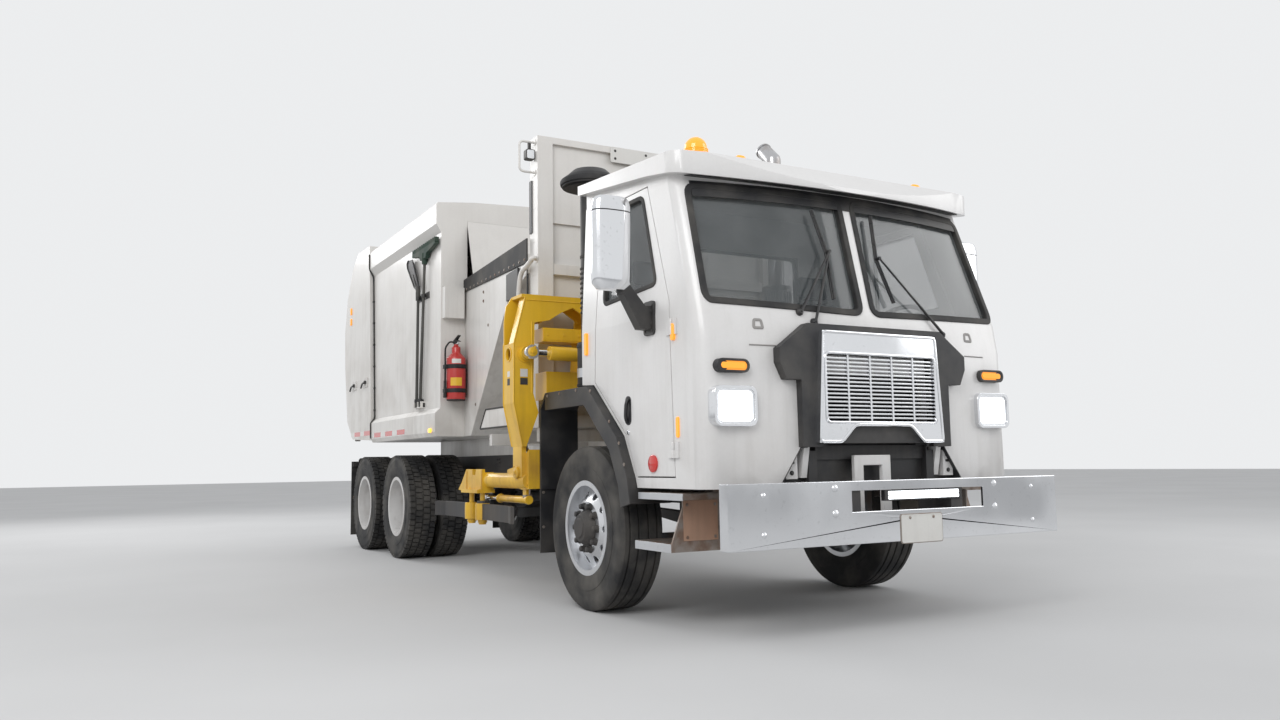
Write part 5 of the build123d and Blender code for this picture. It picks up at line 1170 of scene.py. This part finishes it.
curved_patch(226, 282, 1868, 1908)
piece("extinguisher_label_white", "plate_white")
curved_patch(218, 288, 1662, 1736)
piece("extinguisher_label_yellow", "arm_yellow")
gauge = [(0, 0), (0, 17), (12, 17), (12, 14), (10, 14), (10, 0)]
lathe(gauge, (EXT_X, EXT_Y - 24, 2066), FRONT, 20)
piece("extinguisher_gauge", "chrome")

# Broom and shovel in their holders

TOOL_X = -1202
SHOVEL_X = TOOL_X - 8


def pole(foot, top, radius):
    """A handle with a rounded foot and slightly swollen ends."""
    start = Vector((TOOL_X, *foot))
    way = Vector((TOOL_X, *top)) - start
    length = way.length
    profile = [(0, 0), (2, radius * 0.7), (12, radius), (140, radius)]
    profile += [(length - 180, radius * 0.9), (length, radius), (length, 0)]
    lathe(profile, start, way, 20)


pole((3600, 1500), (3482, 2960), 15)
pole((3713, 1490), (3692, 2660), 15)
lathe([(0, 13), (0, 22), (70, 24), (150, 20), (150, 13)], (TOOL_X, 3697, 2560), (0, -0.02, 1), 20)
piece("tool_poles", "tool_handle", replaces=("hand_tools",))
HEAD = [(3400, 2935), (3570, 2935), (3592, 2975), (3842, 3012)]
HEAD += [(3842, 3040), (3120, 3040), (3090, 3018), (3372, 2975)]
prism(on_x(TOOL_X - 22, HEAD), (44, 0, 0))
lathe([(0, 14), (0, 26), (62, 30), (110, 30), (110, 14)], (TOOL_X, 3487, 2885), (0, -0.08, 1), 24)
for index in range(46):
    y = 3108 + index * 15.9
    tuft = ((TOOL_X - 20, y), (TOOL_X + 20, y), (TOOL_X + 20, y + 11), (TOOL_X - 20, y + 11))
    way = (0, (index - 22.5) * 0.35, 46 + 4 * math.sin(index * 1.7))
    prism([(a, b, 3036) for a, b in tuft], way)
piece("broom_head", "broom_green", edge=2)
BLADE = [(3640, 2680), (3740, 2680), (3800, 2708), (4044, 2940)]
BLADE += [(4062, 2990), (4020, 3020), (3900, 3010), (3866, 2980)]
prism(on_x(TOOL_X - 5, BLADE), (9, 0, 0))
rods(on_x(SHOVEL_X, BLADE[1:6]), 7, 10)
rod((SHOVEL_X, 3646, 2684), (SHOVEL_X, 3866, 2980), 7, 10)
rod((TOOL_X - 6, 3696, 2660), (TOOL_X - 6, 3860, 2850), 17, 16, 5)
for y, z in ((3592, 1552), (3710, 1552), (3514, 2566), (3694, 2566)):
    ring((TOOL_X, y, z), UP, 15, 23, 0, 32, 20)
    block(TOOL_X + 14, -1168, y - 9, y + 9, z + 6, z + 26)
block(-1178, -1170, 3420, 3790, 2550, 2612)
piece("shovel_blade", "plastic_black", edge=1.5)
block(-1190, -1170, 3545, 3770, 1500, 1542)
block(-1216, -1170, 3545, 3770, 1494, 1502)
for y in (3545, 3650, 3762):
    block(-1214, -1170, y, y + 8, 1500, 1556)
bolts([(-1190, y, 1522) for y in (3570, 3740)], KERB, 7, 5)
piece("tool_bracket", "body_white", edge=1.5)

# Intake: bands and a cap with its screen; exhaust: clamp bands, guard ribs and flange

IN_X, IN_Y = -1010, 250
cap = [(0, 72), (0, 206), (16, 210), (34, 206), (92, 128), (112, 60), (118, 0), (96, 0), (70, 120), (26, 196)]
lathe(cap + [(-14, 196), (-14, 72)], (IN_X, IN_Y, 2864), UP, 56)
for z in range(2842, 2868, 6):
    ring((IN_X, IN_Y, z), UP, 80, 176, 0, 2.5, 40)
for z, radius in ((1458, 99), (1725, 99), (2350, 71), (2800, 71)):
    ring((IN_X, IN_Y, z), UP, radius - 2, radius + 4, 0, 18, 40)
    block(IN_X - 14, IN_X + 14, IN_Y - radius - 20, IN_Y - radius, z + 2, z + 16)
for z in range(1960, 2300, 34):
    lathe([(0, 69), (5, 76), (15, 76), (20, 69)], (IN_X, IN_Y, z), UP, 40)
turned([(0, 94), (-16, 86), (-22, 40)], (IN_X, IN_Y, 1442), UP, 40)
piece("intake_fittings", "rubber_black", edge=1, smooth=45)
ring((IN_X, IN_Y, 1520), UP, 96, 100.5, 0, 62, 48)
piece("intake_band", "wheel_silver")

OUT_X, OUT_Y = 700, 400
for z in (1150, 1470, 1940, 2262):
    ring((OUT_X, OUT_Y, z), UP, 108, 115, 0, 26, 48)
    block(OUT_X - 12, OUT_X + 12, OUT_Y - 140, OUT_Y - 112, z + 4, z + 22)
for index in range(13):
    angle = math.radians(-175 + index * 14)
    x, y = OUT_X + 113 * math.cos(angle), OUT_Y + 113 * math.sin(angle)
    rod((x, y, 1180), (x, y, 2250), 5, 8)
for z in (2296, 3250):
    ring((OUT_X, OUT_Y, z), UP, 60, 72, 0, 14, 40)
flange = [(-10, 58), (-10, 66), (4, 66), (4, 56), (-60, 56), (-60, 0), (-62, 0), (-62, 58)]
lathe(flange, (OUT_X, OUT_Y + 120, 3440), (0, 120, 110), 40)
piece("exhaust_fittings", "exhaust_steel", smooth=45)

# Steps: raised ribs, pale edge, tan riser; fender bolts; splash strip across the rear

for ys, z in ((range(-1170, -706, 26), 764), (range(-1040, -662, 26), 485)):
    for y in ys:
        block(875, 1176, y, y + 9, z, z + 3.5)
mirror()
bolts([(x, -1074, z) for x in (-1085, -900, 900, 1085) for z in (520, 700)], FRONT, 7, 5)
piece("step_ribs", "bare_steel")
block(1182, 1187, -1192, -698, 727, 766)
block(1182, 1187, -1062, -653, 438, 486)
mirror()
piece("step_edges", "wheel_silver", slot="bare_steel", edge=1)
block(880, 1108, -1074, -1069, 500, 724)
mirror()
piece("step_risers", "step_tan", edge=1)

FENDER_EDGE = ((-600, 928), (-538, 1056), (-414, 1192), (-154, 1398), (56, 1416), (316, 1412), (516, 1408))
bolts(on_x(1225, FENDER_EDGE), STREET, 8, 5)
block(620, 1180, 6373, 6379, 556, 590)
mirror()
for side in (-1, 1):
    bolts([(side * x, 646, z) for x in (960, 1200) for z in (740, 500)], FRONT, 8, 5)
    bolts([(side * 1000, 6360, z) for z in (960, 980)], BACK, 7, 5)
    bolts([(side * x, 6379, 573) for x in (660, 800, 940, 1080, 1160)], BACK, 8, 5)
piece("fender_bolts", "bare_steel")

# Seats: crowned pads with sewn channels and piping, on their pedestals

PIPING_R = 4
PIPING_ANGLES = (0.0, 1.26, 2.51, 3.77, 5.03)
PULL_IN = 0.055


def squared(x, y, z=0.0):
    """A place on a cube with well rounded edges, from a place on a plain one or a circle."""
    swell = sum(abs(part) ** 5 for part in (x, y, z)) ** 0.2
    return x / swell, y / swell, z / swell


def pad(place, size, tilt=0.0, channels=(), crown=0.5):
    """A stuffed pad on its own axes: rounded corners, pulled-in sides, a crowned face and sewn channels."""
    bmesh.ops.create_cube(drawn, size=2)
    bmesh.ops.subdivide_edges(drawn, edges=list(drawn.edges), cuts=19, use_grid_fill=True)
    turn = Matrix.Rotation(math.radians(tilt), 3, "X")
    half = Vector(size) / 2

    def spot(x, y, z, seam):
        """A place on the pad, its sides pulled in between the corners."""
        x, y = x * (1 - PULL_IN * (1 - y * y)) * seam, y * (1 - PULL_IN * (1 - x * x)) * seam
        return Vector(place) + turn @ Vector((x * half.x, y * half.y, z * half.z))

    for vertex in drawn.verts:
        x, y, z = squared(*vertex.co)
        height = (1 - crown) + crown * (1 - x**4) * (1 - y**4)
        if abs(y) < 0.82:
            height -= 0.2 * sum(math.exp(-(((x - middle) * size[0] / 18) ** 2)) for middle in channels)
        vertex.co = spot(x, y, z * height, 1 - 0.03 * math.exp(-((z * size[2] / 9) ** 2)))
    angles = [2 * math.pi * step / 64 for step in range(64)]
    loop = [spot(*squared(math.cos(angle), math.sin(angle)), 0.985) for angle in angles]
    up = turn @ Vector((0, 0, 1))
    rows = []
    for index, middle in enumerate(loop):
        way = (loop[(index + 1) % 64] - loop[index - 1]).normalized()
        third = way.cross(up).normalized()
        rows.append([middle + (third * math.cos(a) + up * math.sin(a)) * PIPING_R for a in PIPING_ANGLES])
    skin(rows, loop=True)


for side_name, side in SIDES:
    x = side * 700
    pad((x, -322, 1582), (472, 472, 128), 3, (-0.45, 0.45), 0.34)
    seat_pad = piece(f"seat_cushion_{side_name}", "seat_grey", "cab", smooth=70, replaces=("seats",))
    pad((x, -78, 1872), (452, 478, 104), 86.5, (-0.45, 0.45), 0.4)
    back_pad = piece(f"seat_back_{side_name}", "seat_grey", "cab", smooth=70)
    pad((x, -36, 2216), (280, 170, 78), 86.5, (), 0.35)
    head_pad = piece(f"seat_headrest_{side_name}", "seat_grey", "cab", smooth=70)
    for a in (-70, 70):
        rod((x + a, -46, 2080), (x + a, -38, 2180), 7, 12)
    block(x - 215, x + 215, -545, -95, 1508, 1524)
    for a in (-200, 186):
        block(x + a, x + a + 14, -530, -110, 1484, 1510)
    prism(on_y(-400, ((x - 130, 1150), (x + 130, 1150), (x + 150, 1484), (x - 150, 1484))), (0, 270, 0))
    for a in (-236, 222):
        prism(on_x(x + a, ((-150, 1560), (-80, 1560), (-40, 1700), (-80, 1700))), (14, 0, 0))
    piece(f"seat_frame_{side_name}", "plastic_black", "cab", edge=2)

# Camera at the photograph's place, looking up along the kerb side

CAMERA_AT = at(-4038, -5830, 938)
LENS = 27.94
YAW, PITCH, ROLL = (math.radians(angle) for angle in (29.273, 5.896, -0.830))
ahead = Vector((math.sin(YAW) * math.cos(PITCH), math.cos(YAW) * math.cos(PITCH), math.sin(PITCH)))
level = Vector((math.cos(YAW), -math.sin(YAW), 0))
over = level.cross(ahead)
right = level * math.cos(ROLL) + over * math.sin(ROLL)
up = over * math.cos(ROLL) - level * math.sin(ROLL)
camera_data = bpy.data.cameras.new("camera")
camera_data.lens = LENS
camera_data.sensor_width = 36
camera = bpy.data.objects.new("camera", camera_data)
camera.matrix_world = Matrix.Translation(CAMERA_AT) @ Matrix((right, up, -ahead)).transposed().to_4x4()
bpy.context.scene.collection.objects.link(camera)
bpy.context.scene.camera = camera

# Floor, world and soft lamps

FLOOR_REACH = 60.0
floor_mesh = bpy.data.meshes.new("floor")
corners = [(x * FLOOR_REACH, y * FLOOR_REACH, 0) for x, y in ((-1, -1), (1, -1), (1, 1), (-1, 1))]
floor_mesh.from_pydata(corners, [], [(0, 1, 2, 3)])
floor = bpy.data.objects.new("floor", floor_mesh)
bpy.context.scene.collection.objects.link(floor)
floor_look = new_look("floor_pale")
floor_tone = floor_look.ramp(floor_look.noise(0.4, 3.0), 0.3, 0.7)
floor_colour = floor_look.mixed(floor_tone, (0.56, 0.56, 0.56), (0.60, 0.60, 0.60))
floor_look.finish(Base_Color=floor_colour, Roughness=0.85)
floor_mesh.materials.append(MATERIALS["floor_pale"])

# The world looks brighter than the light that it sheds, which is halfway between the two colours
LIT_WORLD, SEEN_WORLD = (0.50, 0.51, 0.53), (0.84, 0.85, 0.86)
HALFWAY = 0.5
world = bpy.data.worlds.new("studio")
bpy.context.scene.world = world
studio = Look(world, "Background")
paths = studio.tree.nodes.new("ShaderNodeLightPath")
seen = HALFWAY
for ray in ("Is Camera Ray", "Is Glossy Ray", "Is Transmission Ray"):
    seen = studio.node("Math", 0, {0: paths.outputs[ray], 1: seen}, operation="MAXIMUM")
studio.finish(Color=studio.mixed(seen, LIT_WORLD, SEEN_WORLD), Strength=1.0)


def lamp(name, place, size, power):
    """A large soft lamp aimed at the truck's middle."""
    data = bpy.data.lights.new(name, "AREA")
    data.size = size
    data.energy = power
    obj = bpy.data.objects.new(name, data)
    obj.location = place
    obj.rotation_euler = (Vector((0, 0, 1.5)) - Vector(place)).to_track_quat("-Z", "Y").to_euler()
    bpy.context.scene.collection.objects.link(obj)


lamp("key", (-9.0, -9.0, 8.0), 6.0, 600)
lamp("fill", (9.0, -8.0, 6.0), 7.0, 330)
lamp("back", (-5.0, 11.0, 8.0), 6.0, 460)

bpy.context.scene.view_settings.view_transform = "Standard"
